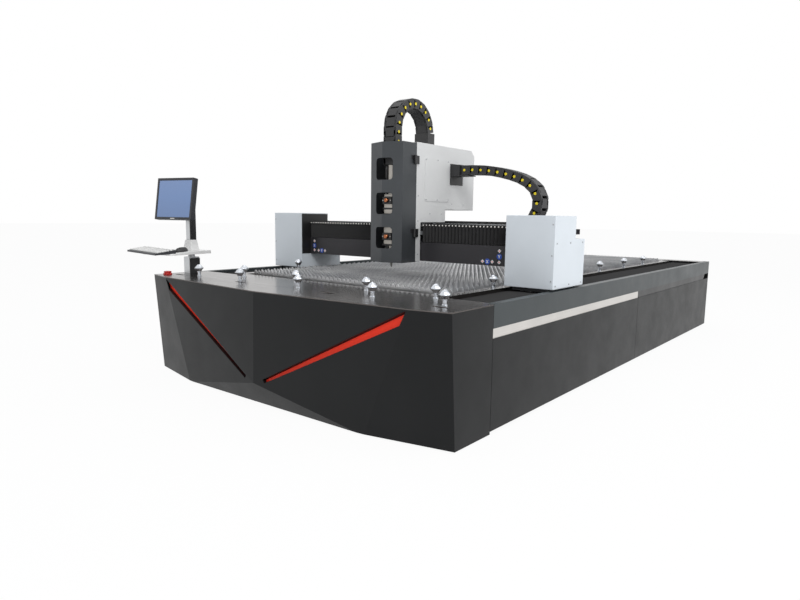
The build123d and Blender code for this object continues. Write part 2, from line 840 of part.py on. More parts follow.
stem_length = ESTOP_STEM_DEPTH + ESTOP_TRAVEL
with BuildPart() as estop_button:
    with BuildSketch(estop_plane.offset(collar_high - ESTOP_STEM_DEPTH)):
        RegularPolygon(ESTOP_BORE_R - TOUCH_GAP, ESTOP_SIDES)
    extrude(amount=stem_length)
    with BuildSketch(estop_plane.offset(collar_high + ESTOP_TRAVEL)):
        RegularPolygon(ESTOP_CAP_R, ESTOP_SIDES)
    extrude(amount=ESTOP_CAP_HEIGHT)
    chamfer(estop_button.faces().sort_by(Axis.Z)[-1].edges(), ESTOP_CAP_HEIGHT / 4)
save(estop_button, "estop_button")

# Operator station: fixed lower post with its swivel hub
post_x = -POST_X
post_y = back(POST_Y)
with BuildPart() as lower_post:
    low = (post_x - POST_WIDTH / 2, post_y - POST_DEPTH / 2, DECK_HEIGHT)
    high = (post_x + POST_WIDTH / 2, post_y + POST_DEPTH / 2, POST_TOP)
    block(low, high)
    with Locations((post_x, post_y, (POST_TOP + TRAY_BOTTOM) / 2)):
        Cylinder(SWIVEL_R, TRAY_BOTTOM - POST_TOP)
save(lower_post, "lower_post")

with BuildPart() as lower_post_cover:
    block((high[0], low[1], DECK_HEIGHT), (high[0] + POST_COVER, high[1], POST_TOP - POST_COVER))
save(lower_post_cover, "lower_post_cover")

# Swivelling half of the station, drawn in its own turned plane
turn = radians(STATION_TURN)
station = Plane((post_x, post_y, 0), x_dir=(cos(turn), sin(turn), 0), z_dir=(0, 0, 1))
desk_low = TRAY_BOTTOM + TOUCH_GAP
desk_top = desk_low + DESK_THICK
desk_end = station.from_local_coords((-DESK_LEFT, 0, 0))
with BuildPart() as keyboard_tray:
    with BuildSketch(Plane(desk_end, x_dir=station.y_dir, z_dir=station.x_dir)):
        outline(
            [
                (-DESK_FRONT, desk_low),
                (DESK_BACK, desk_low),
                (DESK_BACK, desk_top),
                (-DESK_KNEE, desk_top),
                (-DESK_FRONT, desk_low + DESK_LIP),
            ]
        )
    extrude(amount=DESK_LEFT + DESK_RIGHT)
    chamfer(keyboard_tray.edges().filter_by(Axis.Z), DESK_CORNER)
save(keyboard_tray, "keyboard_tray")

bracket_top = desk_top + BRACKET_HEIGHT
bracket_step = (BRACKET_WIDTH - BRACKET_TOP_WIDTH) / 2
with BuildPart() as tray_bracket:
    with BuildSketch(station.offset(desk_top)):
        Rectangle(BRACKET_WIDTH, BRACKET_WIDTH)
    extrude(amount=BRACKET_HEIGHT, taper=degrees(atan(bracket_step / BRACKET_HEIGHT)))
save(tray_bracket, "tray_bracket")

with BuildPart(station) as upper_post:
    block(
        (-UPPER_WIDTH / 2, -UPPER_DEPTH / 2, bracket_top),
        (UPPER_WIDTH / 2, UPPER_DEPTH / 2, UPPER_TOP),
    )
save(upper_post, "upper_post")

with BuildPart(station) as upper_post_cover:
    block(
        (UPPER_WIDTH / 2, -UPPER_DEPTH / 2, bracket_top),
        (UPPER_WIDTH / 2 + UPPER_COVER, UPPER_DEPTH / 2, UPPER_TOP),
    )
save(upper_post_cover, "upper_post_cover")

# Keyboard and mouse rest on the sloping front of the tray
knee = station.from_local_coords((0, -DESK_KNEE, desk_top))
slope_run = station.y_dir * (DESK_FRONT - DESK_KNEE)
slope_up = slope_run + station.z_dir * (DESK_THICK - DESK_LIP)
desk_rest = Plane(knee, x_dir=station.x_dir, z_dir=station.x_dir.cross(slope_up))
key_spot = desk_rest.from_local_coords((KEYBOARD_X, KEYBOARD_Y, 0))
key_dir = desk_rest.x_dir.rotate(Axis(key_spot, desk_rest.z_dir), KEYBOARD_TURN)
key_side = desk_rest.z_dir.cross(key_dir)
with BuildPart() as keyboard:
    with BuildSketch(Plane(key_spot - key_dir * (KEYBOARD_LENGTH / 2), x_dir=key_side, z_dir=key_dir)):
        outline(
            [
                (-KEYBOARD_DEPTH / 2, 0),
                (KEYBOARD_DEPTH / 2, 0),
                (KEYBOARD_DEPTH / 2, KEYBOARD_BACK),
                (-KEYBOARD_DEPTH / 2, KEYBOARD_FRONT),
            ]
        )
    extrude(amount=KEYBOARD_LENGTH)
save(keyboard, "keyboard")

with BuildPart(desk_rest) as mouse:
    block(
        (MOUSE_X - MOUSE_WIDTH / 2, MOUSE_Y - MOUSE_LENGTH / 2, 0),
        (MOUSE_X + MOUSE_WIDTH / 2, MOUSE_Y + MOUSE_LENGTH / 2, MOUSE_HEIGHT),
    )
    chamfer(mouse.faces().sort_by(Axis.Z)[-1].edges(), MOUSE_HEIGHT / 3)
save(mouse, "mouse")

# Monitor bracket: a plate on the post with two ears and the tilt pin
plate_back = -UPPER_DEPTH / 2
plate_front = plate_back - EAR_THICK
pivot_y = plate_front - PIVOT_REACH
ear_inner = PIVOT_LENGTH / 2 - EAR_THICK
with BuildPart(station) as monitor_bracket:
    block(
        (MONITOR_X - PIVOT_LENGTH / 2, plate_front, MONITOR_Z - EAR_R),
        (UPPER_WIDTH / 2, plate_back, MONITOR_Z + EAR_R),
    )
    for side in (-1, 1):
        x = MONITOR_X + side * (ear_inner + EAR_THICK / 2)
        block(
            (x - EAR_THICK / 2, pivot_y, MONITOR_Z - LUG_R),
            (x + EAR_THICK / 2, plate_front, MONITOR_Z + LUG_R),
        )
        with Locations(Location((x, pivot_y, MONITOR_Z), (0, 90, 0))):
            Cylinder(LUG_R, EAR_THICK)
    with Locations(Location((MONITOR_X, pivot_y, MONITOR_Z), (0, 90, 0))):
        Cylinder(PIVOT_R, PIVOT_LENGTH)
save(monitor_bracket, "monitor_bracket")

# Monitor: housing with a lug on the tilt pin, and the screen set in its front
lean = radians(MONITOR_LEAN)
pivot_point = station.from_local_coords((MONITOR_X, pivot_y, MONITOR_Z))
leaning_up = station.y_dir * sin(lean) + station.z_dir * cos(lean)
monitor_plane = Plane(pivot_point, x_dir=station.x_dir, z_dir=leaning_up)
lug_half = ear_inner - TOUCH_GAP
case_back = -EAR_R
case_front = case_back - MONITOR_THICK
screen_front = case_front + MONITOR_SET
screen_x = MONITOR_WIDTH / 2 - MONITOR_BEZEL
screen_z = MONITOR_HEIGHT / 2 - MONITOR_BEZEL
with BuildPart(monitor_plane) as monitor_shell:
    block(
        (-MONITOR_WIDTH / 2, case_front, -MONITOR_HEIGHT / 2),
        (MONITOR_WIDTH / 2, case_back, MONITOR_HEIGHT / 2),
    )
    backwards = Axis(pivot_point, monitor_plane.y_dir)
    chamfer(monitor_shell.faces().sort_by(backwards)[-1].edges(), MONITOR_CORNER)
    block(
        (-screen_x, case_front - OVERRUN, -screen_z),
        (screen_x, screen_front + MONITOR_SET, screen_z),
        Mode.SUBTRACT,
    )
    block((-lug_half, case_back, -LUG_R), (lug_half, 0, LUG_R))
    with Locations(Location((0, 0, 0), (0, 90, 0))):
        Cylinder(LUG_R, 2 * lug_half)
    with Locations(Location((0, 0, 0), (0, 90, 0))):
        Cylinder(PIVOT_R + RUNNING_GAP, PIVOT_LENGTH, mode=Mode.SUBTRACT)
save(monitor_shell, "monitor_shell")

with BuildPart(monitor_plane) as monitor_screen:
    block((-screen_x, screen_front, -screen_z), (screen_x, screen_front + MONITOR_SET, screen_z))
save(monitor_screen, "monitor_screen")

# Gantry end covers: folded sheet housings, open below and where the beam passes
cover_points = [
    (back(COVER_FRONT), COVER_BOTTOM),
    (back(COVER_REAR), COVER_BOTTOM),
    (back(COVER_REAR), COVER_STEP),
    (back(COVER_UPPER_REAR), COVER_STEP),
    (back(COVER_UPPER_REAR), COVER_TOP),
    (back(COVER_FRONT), COVER_TOP),
]
with BuildPart() as end_covers:
    with BuildSketch(Plane.YZ.offset(COVER_INNER)):
        outline(cover_points)
    extrude(amount=COVER_OUTER - COVER_INNER)
    with BuildSketch(Plane.YZ.offset(COVER_INNER + SHEET)) as hollow:
        outline(cover_points)
        offset(amount=-SHEET, kind=Kind.INTERSECTION, mode=Mode.REPLACE)
    extrude(amount=COVER_OUTER - COVER_INNER - 2 * SHEET, mode=Mode.SUBTRACT)
    block(
        (COVER_INNER + SHEET, back(COVER_FRONT) + SHEET, COVER_BOTTOM - OVERRUN),
        (COVER_OUTER - SHEET, back(COVER_REAR) - SHEET, COVER_BOTTOM + 2 * SHEET),
        Mode.SUBTRACT,
    )
    block(
        (COVER_INNER - OVERRUN, back(PANEL_FRONT) - BEAM_HOLE_GAP, GANTRY_BEAM_LOW - BEAM_HOLE_GAP),
        (
            GANTRY_BEAM_HALF + BEAM_HOLE_GAP,
            back(GANTRY_BEAM_REAR) + BEAM_HOLE_GAP,
            X_BELLOWS_HIGH + BEAM_HOLE_GAP,
        ),
        Mode.SUBTRACT,
    )
    mirror(about=Plane.YZ)
save(end_covers, "end_covers")

# Gantry beam: a box tube between the end covers
with BuildPart() as gantry_beam:
    low = (-GANTRY_BEAM_HALF, back(GANTRY_BEAM_FRONT), GANTRY_BEAM_LOW)
    high = (GANTRY_BEAM_HALF, back(GANTRY_BEAM_REAR), GANTRY_BEAM_HIGH)
    block(low, high)
    block(
        (low[0] - OVERRUN, low[1] + TUBE_WALL, low[2] + TUBE_WALL),
        (high[0] + OVERRUN, high[1] - TUBE_WALL, high[2] - TUBE_WALL),
        Mode.SUBTRACT,
    )
save(gantry_beam, "gantry_beam")

# Beam panel: a sheet channel on the lower front of the beam
panel_half = COVER_INNER - TOUCH_GAP
with BuildPart() as beam_panel:
    block(
        (-panel_half, back(PANEL_FRONT), PANEL_LOW),
        (panel_half, back(GANTRY_BEAM_FRONT), PANEL_HIGH),
    )
    block(
        (-panel_half - OVERRUN, back(PANEL_FRONT) + SHEET, PANEL_LOW + SHEET),
        (panel_half + OVERRUN, back(GANTRY_BEAM_FRONT) + OVERRUN, PANEL_HIGH - SHEET),
        Mode.SUBTRACT,
    )
save(beam_panel, "beam_panel")

# Rails for the carriage, one on the front of the beam and one on its top
rail_half = X_BELLOWS_END - X_RAIL_WIDTH
with BuildPart() as x_rails:
    block(
        (-rail_half, back(GANTRY_BEAM_FRONT) - X_RAIL_HEIGHT, X_RAIL_Z - X_RAIL_WIDTH / 2),
        (rail_half, back(GANTRY_BEAM_FRONT), X_RAIL_Z + X_RAIL_WIDTH / 2),
    )
    block(
        (-rail_half, back(X_RAIL_Y) - X_RAIL_WIDTH / 2, GANTRY_BEAM_HIGH),
        (rail_half, back(X_RAIL_Y) + X_RAIL_WIDTH / 2, GANTRY_BEAM_HIGH + X_RAIL_HEIGHT),
    )
save(x_rails, "x_rails")


def beam_bellows(start, end, count):
    """Upright folds in front of the beam, hollow behind for the rail."""
    crest = back(X_BELLOWS_FRONT)
    valley = crest + X_BELLOWS_PLEAT
    rear = back(GANTRY_BEAM_FRONT) - TOUCH_GAP
    with BuildSketch(Plane.XY.offset(X_BELLOWS_LOW)) as folds:
        outline(pleats(start, end, count, valley, crest) + [(end, rear), (start, rear)])
    extrude(folds.sketch, amount=X_BELLOWS_HIGH - X_BELLOWS_LOW)
    block(
        (start - OVERRUN, valley + X_BELLOWS_SKIN, X_BELLOWS_LOW + X_BELLOWS_LIP),
        (end + OVERRUN, rear + OVERRUN, X_BELLOWS_HIGH - X_BELLOWS_LIP),
        Mode.SUBTRACT,
    )


# Bellows left and right of the carriage
with BuildPart() as x_bellows:
    beam_bellows(-X_BELLOWS_END, BOX_LEFT, LEFT_PLEAT_COUNT)
    beam_bellows(BOX_RIGHT, X_BELLOWS_END, RIGHT_PLEAT_COUNT)
save(x_bellows, "x_bellows")

# Saddles: channels on the Y blocks that carry the beam, with tabs for the end covers
shaft_x = RACK_X - PINION_R - TOOTH_OUT - TOUCH_GAP
shaft_y = back(SADDLE_FRONT) + MOTOR_SIZE / 2
tab_low = COVER_BOTTOM + SADDLE_PLATE
with BuildPart() as gantry_saddles:
    with BuildSketch(Plane.XZ.offset(-back(SADDLE_FRONT))):
        outline(
            [
                (SADDLE_INNER, SADDLE_LOW),
                (SADDLE_OUTER, SADDLE_LOW),
                (SADDLE_OUTER, GANTRY_BEAM_LOW),
                (SADDLE_OUTER - SADDLE_PLATE, GANTRY_BEAM_LOW),
                (SADDLE_OUTER - SADDLE_PLATE, SADDLE_LOW + SADDLE_PLATE),
                (SADDLE_INNER + SADDLE_PLATE, SADDLE_LOW + SADDLE_PLATE),
                (SADDLE_INNER + SADDLE_PLATE, GANTRY_BEAM_LOW),
                (SADDLE_INNER, GANTRY_BEAM_LOW),
            ]
        )
    extrude(amount=-(SADDLE_REAR - SADDLE_FRONT))
    for inner, outer in ((COVER_INNER + SHEET, SADDLE_INNER), (SADDLE_OUTER, COVER_OUTER - SHEET)):
        block(
            (inner, back(SADDLE_FRONT), tab_low),
            (outer, back(SADDLE_FRONT) + TAB_LENGTH, tab_low + TUBE_WALL),
        )
    with Locations((shaft_x, shaft_y, SADDLE_LOW)):
        Cylinder(SHAFT_HOLE_R, 2 * SADDLE_PLATE + OVERRUN, mode=Mode.SUBTRACT)
    mirror(about=Plane.YZ)
save(gantry_saddles, "gantry_saddles")

# Bearing blocks under the saddles, astride the rails
with BuildPart() as y_bearing_blocks:
    for near in (BLOCK_FRONT, SADDLE_REAR - BLOCK_LENGTH):
        block(
            (RAIL_X - BLOCK_WIDTH / 2, back(near), TROUGH_FLOOR + BLOCK_FLOOR_GAP),
            (RAIL_X + BLOCK_WIDTH / 2, back(near) + BLOCK_LENGTH, SADDLE_LOW),
        )
        block(
            (RAIL_X - RAIL_WIDTH / 2 - TOUCH_GAP, back(near) - OVERRUN, TROUGH_FLOOR),
            (
                RAIL_X + RAIL_WIDTH / 2 + TOUCH_GAP,
                back(near) + BLOCK_LENGTH + OVERRUN,
                TROUGH_FLOOR + RAIL_HEIGHT + TOUCH_GAP,
            ),
            Mode.SUBTRACT,
        )
    mirror(about=Plane.YZ)
save(y_bearing_blocks, "y_bearing_blocks")

# Drive motors on the saddles, and their pinions beside the racks
motor_low = SADDLE_LOW + SADDLE_PLATE
with BuildPart() as y_motors:
    with Locations((shaft_x, shaft_y, motor_low + MOTOR_HEIGHT / 2)):
        Box(MOTOR_SIZE, MOTOR_SIZE, MOTOR_HEIGHT)
    chamfer(y_motors.edges().filter_by(Axis.Z), MOTOR_CORNER)
    mirror(about=Plane.YZ)
save(y_motors, "y_motors")


def pinion(side):
    """A toothed wheel and its shaft, hung under the motor."""
    tip = PINION_R + TOOTH_OUT
    root = PINION_R - TOOTH_OUT
    step = 2 * pi / PINION_TEETH
    points = []
    for i in range(PINION_TEETH):
        for radius, turn_share in ((root, -0.36), (tip, -0.14), (tip, 0.14), (root, 0.36)):
            angle = step * (i + turn_share)
            points.append((radius * cos(angle), radius * sin(angle)))
    low = TROUGH_FLOOR + TOUCH_GAP
    with BuildSketch(Plane((side * shaft_x, shaft_y, low))) as wheel:
        outline(points)
    extrude(wheel.sketch, amount=PINION_HEIGHT)
    with BuildSketch(Plane((side * shaft_x, shaft_y, low + PINION_HEIGHT))) as shaft:
        Circle(PINION_BORE_R)
    extrude(shaft.sketch, amount=motor_low - TOUCH_GAP - low - PINION_HEIGHT)


with BuildPart() as y_pinion_left:
    pinion(-1)
save(y_pinion_left, "y_pinion_left")

with BuildPart() as y_pinion_right:
    pinion(1)
save(y_pinion_right, "y_pinion_right")

# Carriage box: a tall folded housing with a narrow foot down the front of the beam
box_points = [
    (back(BOX_FRONT), BOX_STRIP_LOW),
    (back(BOX_STRIP_REAR), BOX_STRIP_LOW),
    (back(BOX_STRIP_REAR), BOX_FLOOR),
    (back(BOX_MID), BOX_FLOOR),
    (back(BOX_MID), BOX_REAR_LOW),
    (back(BOX_REAR), BOX_REAR_LOW),
    (back(BOX_REAR), BOX_TOP - BOX_CHAMFER),
    (back(BOX_REAR - BOX_CHAMFER), BOX_TOP),
    (back(BOX_FRONT), BOX_TOP),
]
window_half = X_BLOCK_SPREAD + X_BLOCK_LENGTH / 2 + BLOCK_WINDOW_GAP
window_side = X_BLOCK_WIDTH / 2 + BLOCK_WINDOW_GAP
with BuildPart() as carriage_box:
    with BuildSketch(Plane.YZ.offset(BOX_LEFT)):
        outline(box_points)
    extrude(amount=HEAD_WIDTH)
    with BuildSketch(Plane.YZ.offset(BOX_LEFT + SHEET)):
        outline(box_points)
        offset(amount=-SHEET, kind=Kind.INTERSECTION, mode=Mode.REPLACE)
    extrude(amount=HEAD_WIDTH - 2 * SHEET, mode=Mode.SUBTRACT)
    block(
        (BOX_LEFT + SHEET, back(BOX_FRONT) - OVERRUN, BOX_STRIP_LOW + SHEET),
        (BOX_RIGHT - SHEET, back(BOX_FRONT) + 2 * SHEET, BOX_TOP - SHEET),
        Mode.SUBTRACT,
    )
    block(
        (HEAD_X - window_half, back(BOX_STRIP_REAR) - 2 * SHEET, X_RAIL_Z - window_side),
        (HEAD_X + window_half, back(BOX_STRIP_REAR) + OVERRUN, X_RAIL_Z + window_side),
        Mode.SUBTRACT,
    )
    block(
        (HEAD_X - window_half, back(X_RAIL_Y) - window_side, BOX_FLOOR - OVERRUN),
        (HEAD_X + window_half, back(X_RAIL_Y) + window_side, BOX_FLOOR + 2 * SHEET),
        Mode.SUBTRACT,
    )
save(carriage_box, "carriage_box")

# Access plate screwed on the right side of the box
with BuildPart() as access_plate:
    block(
        (BOX_RIGHT, back(ACCESS_FRONT), ACCESS_LOW),
        (BOX_RIGHT + ACCESS_THICK, back(ACCESS_REAR), ACCESS_HIGH),
    )
    chamfer(access_plate.edges().filter_by(Axis.X), ACCESS_CORNER)
save(access_plate, "access_plate")

# Carriage: an angle plate in the box, on the blocks of both beam rails
plate_front = BOX_STRIP_REAR - SHEET - CARRIAGE_PLATE
plate_rear = BOX_STRIP_REAR - SHEET
carriage_half = HEAD_WIDTH / 2 - SHEET - CARRIAGE_SIDE_GAP
with BuildPart() as x_carriage:
    block(
        (HEAD_X - carriage_half, back(plate_front), CARRIAGE_LOW),
        (HEAD_X + carriage_half, back(plate_rear), CARRIAGE_HIGH),
    )
    block(
        (HEAD_X - carriage_half, back(plate_front), CARRIAGE_FLOOR),
        (HEAD_X + carriage_half, back(CARRIAGE_REAR), CARRIAGE_FLOOR + CARRIAGE_PLATE),
    )
save(x_carriage, "x_carriage")

# Blocks astride the front and top rails of the beam
front_rail_face = GANTRY_BEAM_FRONT - X_RAIL_HEIGHT
top_rail_face = GANTRY_BEAM_HIGH + X_RAIL_HEIGHT
rail_slot = X_RAIL_WIDTH / 2 + TOUCH_GAP
with BuildPart() as x_bearing_blocks:
    for middle in (HEAD_X - X_BLOCK_SPREAD, HEAD_X + X_BLOCK_SPREAD):
        near = middle - X_BLOCK_LENGTH / 2
        far = middle + X_BLOCK_LENGTH / 2
        block(
            (near, back(plate_rear), X_RAIL_Z - X_BLOCK_WIDTH / 2),
            (far, back(GANTRY_BEAM_FRONT - X_BLOCK_CLEAR), X_RAIL_Z + X_BLOCK_WIDTH / 2),
        )
        block(
            (near - TOUCH_GAP, back(front_rail_face - TOUCH_GAP), X_RAIL_Z - rail_slot),
            (far + TOUCH_GAP, back(GANTRY_BEAM_FRONT), X_RAIL_Z + rail_slot),
            Mode.SUBTRACT,
        )
        block(
            (near, back(X_RAIL_Y) - X_BLOCK_WIDTH / 2, GANTRY_BEAM_HIGH + X_BLOCK_CLEAR),
            (far, back(X_RAIL_Y) + X_BLOCK_WIDTH / 2, CARRIAGE_FLOOR),
        )
        block(
            (near - TOUCH_GAP, back(X_RAIL_Y) - rail_slot, GANTRY_BEAM_HIGH),
            (far + TOUCH_GAP, back(X_RAIL_Y) + rail_slot, top_rail_face + TOUCH_GAP),
            Mode.SUBTRACT,
        )
save(x_bearing_blocks, "x_bearing_blocks")

# Upright rails for the head, and the motor behind the plate
rail_front = plate_front - Z_RAIL_DEPTH
rail_middles = (HEAD_X - Z_RAIL_SPREAD, HEAD_X + Z_RAIL_SPREAD)
with BuildPart() as z_rails:
    for middle in rail_middles:
        block(
            (middle - Z_RAIL_WIDTH / 2, back(rail_front), Z_RAIL_LOW),
            (middle + Z_RAIL_WIDTH / 2, back(plate_front), Z_RAIL_HIGH),
        )
save(z_rails, "z_rails")

with BuildPart() as z_motor:
    block(
        (HEAD_X - Z_MOTOR_SIZE / 2, back(plate_rear), Z_MOTOR_LOW),
        (HEAD_X + Z_MOTOR_SIZE / 2, back(plate_rear + Z_MOTOR_SIZE), CARRIAGE_HIGH),
    )
    chamfer(z_motor.edges().filter_by(Axis.Z), MOTOR_CORNER)
save(z_motor, "z_motor")

# Z slide: a plate with four blocks on the upright rails
slide_rear = rail_front - SLIDE_BLOCK
slide_front = slide_rear - SLIDE_THICK
block_half = Z_RAIL_WIDTH / 2 + SLIDE_BLOCK
with BuildPart() as z_slide:
    block(
        (HEAD_X - SLIDE_WIDTH / 2, back(slide_front), SLIDE_LOW),
        (HEAD_X + SLIDE_WIDTH / 2, back(slide_rear), SLIDE_HIGH),
    )
    for middle in rail_middles:
        for low in (SLIDE_LOW + SLIDE_BLOCK, SLIDE_HIGH - SLIDE_BLOCK - X_BLOCK_WIDTH):
            block(
                (middle - block_half, back(slide_rear), low),
                (middle + block_half, back(rail_front + SLIDE_BLOCK), low + X_BLOCK_WIDTH),
            )
        block(
            (middle - Z_RAIL_WIDTH / 2 - TOUCH_GAP, back(rail_front - TOUCH_GAP), SLIDE_LOW),
            (middle + Z_RAIL_WIDTH / 2 + TOUCH_GAP, back(plate_front), SLIDE_HIGH),
            Mode.SUBTRACT,
        )
save(z_slide, "z_slide")

# Laser head: body, collimator, neck and nozzle in one
with BuildPart() as laser_head:
    head_rear = HEAD_Y + HEAD_BODY_DEPTH / 2
    block(
        (HEAD_X - HEAD_BODY_WIDTH / 2, back(HEAD_Y - HEAD_BODY_DEPTH / 2), HEAD_BODY_LOW),
        (HEAD_X + HEAD_BODY_WIDTH / 2, back(head_rear), HEAD_BODY_HIGH),
    )
    chamfer(laser_head.edges().filter_by(Axis.Z), HEAD_CORNER)
    block(
        (HEAD_X - LUG_WIDTH / 2, back(HEAD_Y), HEAD_BODY_LOW + LUG_WIDTH),
        (HEAD_X + LUG_WIDTH / 2, back(slide_front), HEAD_BODY_HIGH - LUG_WIDTH),
    )
    with BuildSketch(Plane((HEAD_X, back(HEAD_Y), HEAD_BODY_HIGH))):
        Circle(COLLIMATOR_R)
    extrude(amount=COLLIMATOR_HIGH - HEAD_BODY_HIGH)
    with BuildSketch(Plane((HEAD_X, back(HEAD_Y), NECK_LOW))):
        Circle(NECK_R)
    extrude(amount=HEAD_BODY_LOW - NECK_LOW)
    with BuildSketch(Plane((HEAD_X, back(HEAD_Y), NECK_LOW))):
        Circle(NOZZLE_R)
    with BuildSketch(Plane((HEAD_X, back(HEAD_Y), NOZZLE_LOW))):
        Circle(NOZZLE_TIP_R)
    loft()
save(laser_head, "laser_head")

# Front cover: a folded sheet with a prow and three windows across its crease
shell_back = back(BOX_FRONT - SHELL_GAP)
shell_points = [
    (BOX_LEFT, shell_back),
    (BOX_LEFT, back(SHELL_SIDE_FRONT)),
    (HEAD_X, back(SHELL_PROW)),
    (BOX_RIGHT, back(SHELL_SIDE_FRONT)),
    (BOX_RIGHT, shell_back),
]
with BuildPart() as head_cover:
    with BuildSketch(Plane.XY.offset(SHELL_LOW)):
        outline(shell_points)
    extrude(amount=SHELL_HIGH - SHELL_LOW)
    with BuildSketch(Plane.XY.offset(SHELL_LOW)):
        outline(shell_points)
        offset(amount=-SHELL_WALL, kind=Kind.INTERSECTION, mode=Mode.REPLACE)
    extrude(amount=SHELL_HIGH - SHELL_LOW, mode=Mode.SUBTRACT)
    block(
        (BOX_LEFT + SHELL_WALL, shell_back - 2 * SHELL_WALL, SHELL_LOW),
        (BOX_RIGHT - SHELL_WALL, shell_back + OVERRUN, SHELL_HIGH),
        Mode.SUBTRACT,
    )
    with BuildSketch(Plane.XZ.offset(-back(SHELL_SIDE_FRONT))):
        with Locations(*[(HEAD_X, low + WINDOW_HEIGHT / 2) for low in WINDOW_LOWS]):
            RectangleRounded(WINDOW_WIDTH, WINDOW_HEIGHT, WINDOW_CORNER)
    extrude(amount=SHELL_SIDE_FRONT - SHELL_PROW + OVERRUN, mode=Mode.SUBTRACT)
save(head_cover, "head_cover")

# Hinges on the right: pins fixed to the box, and barrels fixed to the cover
hinge_x = BOX_RIGHT + HINGE_OFFSET
leaf_face = BOX_RIGHT + HINGE_LEAF_THICK
with BuildPart() as hinge_pins:
    for low in HINGE_HEIGHTS:
        high = low + HINGE_LENGTH / 2
        block(
            (BOX_RIGHT, back(BOX_FRONT), low),
            (leaf_face, back(BOX_FRONT + HINGE_LEAF), low + HINGE_LENGTH),
        )
        block(
            (BOX_RIGHT + TOUCH_GAP, back(HINGE_Y), low),
            (hinge_x, back(BOX_FRONT + HINGE_WEB), high),
        )
        with BuildSketch(Plane((hinge_x, back(HINGE_Y), low))) as barrel:
            Circle(HINGE_KNUCKLE_R)
        extrude(amount=HINGE_LENGTH / 2)
        with BuildSketch(Plane((hinge_x, back(HINGE_Y), low))) as pin:
            Circle(HINGE_PIN_R)
        extrude(amount=HINGE_LENGTH)
save(hinge_pins, "hinge_pins")

with BuildPart() as hinge_knuckles:
    for low in HINGE_HEIGHTS:
        middle = low + HINGE_LENGTH / 2 + HINGE_LIFT
        high = low + HINGE_LENGTH
        block(
            (BOX_RIGHT, back(HINGE_Y - HINGE_LEAF), middle),
            (leaf_face, back(HINGE_Y - HINGE_LIFT), high),
        )
        block(
            (BOX_RIGHT, back(HINGE_Y - HINGE_WEB), middle),
            (hinge_x, back(HINGE_Y), high),
        )
        with BuildSketch(Plane((hinge_x, back(HINGE_Y), middle))):
            Circle(HINGE_KNUCKLE_R)
        extrude(amount=high - middle)
        with BuildSketch(Plane((hinge_x, back(HINGE_Y), low))):
            Circle(HINGE_PIN_R + RUNNING_GAP)
        extrude(amount=HINGE_LENGTH, mode=Mode.SUBTRACT)
save(hinge_knuckles, "hinge_knuckles")


def chain_path(start, angles, pitch):
    """The joints of a chain whose links point along these angles."""
    joints = [start]
    for angle in angles:
        across, up = joints[-1]
        turn = radians(angle)
        joints.append((across + pitch * cos(turn), up + pitch * sin(turn)))
    return joints


def chain_links(plane, joints, angles, final):
    """One box per link in an upright plane, cut short where the chain bends."""
    nexts = angles[1:] + [final]
    for i, angle in enumerate(angles):
        turns = [angle - angles[max(i - 1, 0)], nexts[i] - angle]
        near, far = [LINK_GAP / 2 + LINK_DEPTH / 2 * abs(tan(radians(t) / 2)) for t in turns]
        a = plane.from_local_coords((joints[i][0], joints[i][1], 0))
        b = plane.from_local_coords((joints[i + 1][0], joints[i + 1][1], 0))
        along = (b - a).normalized()
        middle = (a + along * near + b - along * far) * 0.5
        with Locations(Plane(middle, x_dir=along, z_dir=plane.z_dir)):
            Box((b - a).length - near - far, LINK_DEPTH, LINK_WIDTH)


# Drag chain of the carriage: over, round and back into its tray on the beam
x_angles = [-drop for drop in X_CHAIN_DROPS] + [-180] * X_LOWER_LINK_COUNT
x_joints = chain_path((X_CHAIN_START, X_CHAIN_HIGH), x_angles, X_LINK_PITCH)
with BuildPart() as x_chain:
    chain_links(Plane.XZ.offset(-back(X_CHAIN_Y)), x_joints, x_angles, -180)
save(x_chain, "x_chain")

# Chain tray behind the beam, on arms
chain_end, chain_low = x_joints[-1]
tray_floor = chain_low - LINK_DEPTH / 2 - TOUCH_GAP
tray_half = LINK_WIDTH / 2 + CHAIN_TRAY_CLEAR
tray_left = chain_end - CHAIN_TRAY_SPARE
with BuildPart() as x_chain_tray:
    block(
        (tray_left, back(X_CHAIN_Y) - tray_half - CHAIN_TRAY_PLATE, tray_floor - CHAIN_TRAY_PLATE),
        (CHAIN_TRAY_END, back(X_CHAIN_Y) + tray_half + CHAIN_TRAY_PLATE, tray_floor + CHAIN_TRAY_WALL),
    )
    block(
        (tray_left - OVERRUN, back(X_CHAIN_Y) - tray_half, tray_floor),
        (CHAIN_TRAY_END + OVERRUN, back(X_CHAIN_Y) + tray_half, tray_floor + OVERRUN),
        Mode.SUBTRACT,
    )
    arm_step = (COVER_INNER - TRAY_ARM - tray_left) / (TRAY_ARM_COUNT - 1)
    for i in range(TRAY_ARM_COUNT):
        block(
            (tray_left + i * arm_step, back(GANTRY_BEAM_REAR), tray_floor - TRAY_ARM),
            (
                tray_left + i * arm_step + TRAY_ARM,
                back(X_CHAIN_Y) + tray_half,
                tray_floor - CHAIN_TRAY_PLATE,
            ),
        )
save(x_chain_tray, "x_chain_tray")

# Drag chain of the head: up from the head and over to the box
bend_step = 180 / Z_BEND_LINK_COUNT
z_angles = [90] * Z_LEG_LINK_COUNT + [90 - bend_step * (i + 1 / 2) for i in range(Z_BEND_LINK_COUNT)]
z_joints = chain_path((back(HEAD_Y), COLLIMATOR_HIGH), z_angles, Z_LINK_PITCH)
with BuildPart() as z_chain:
    chain_links(Plane.YZ.offset(HEAD_X), z_joints, z_angles, -90)
save(z_chain, "z_chain")

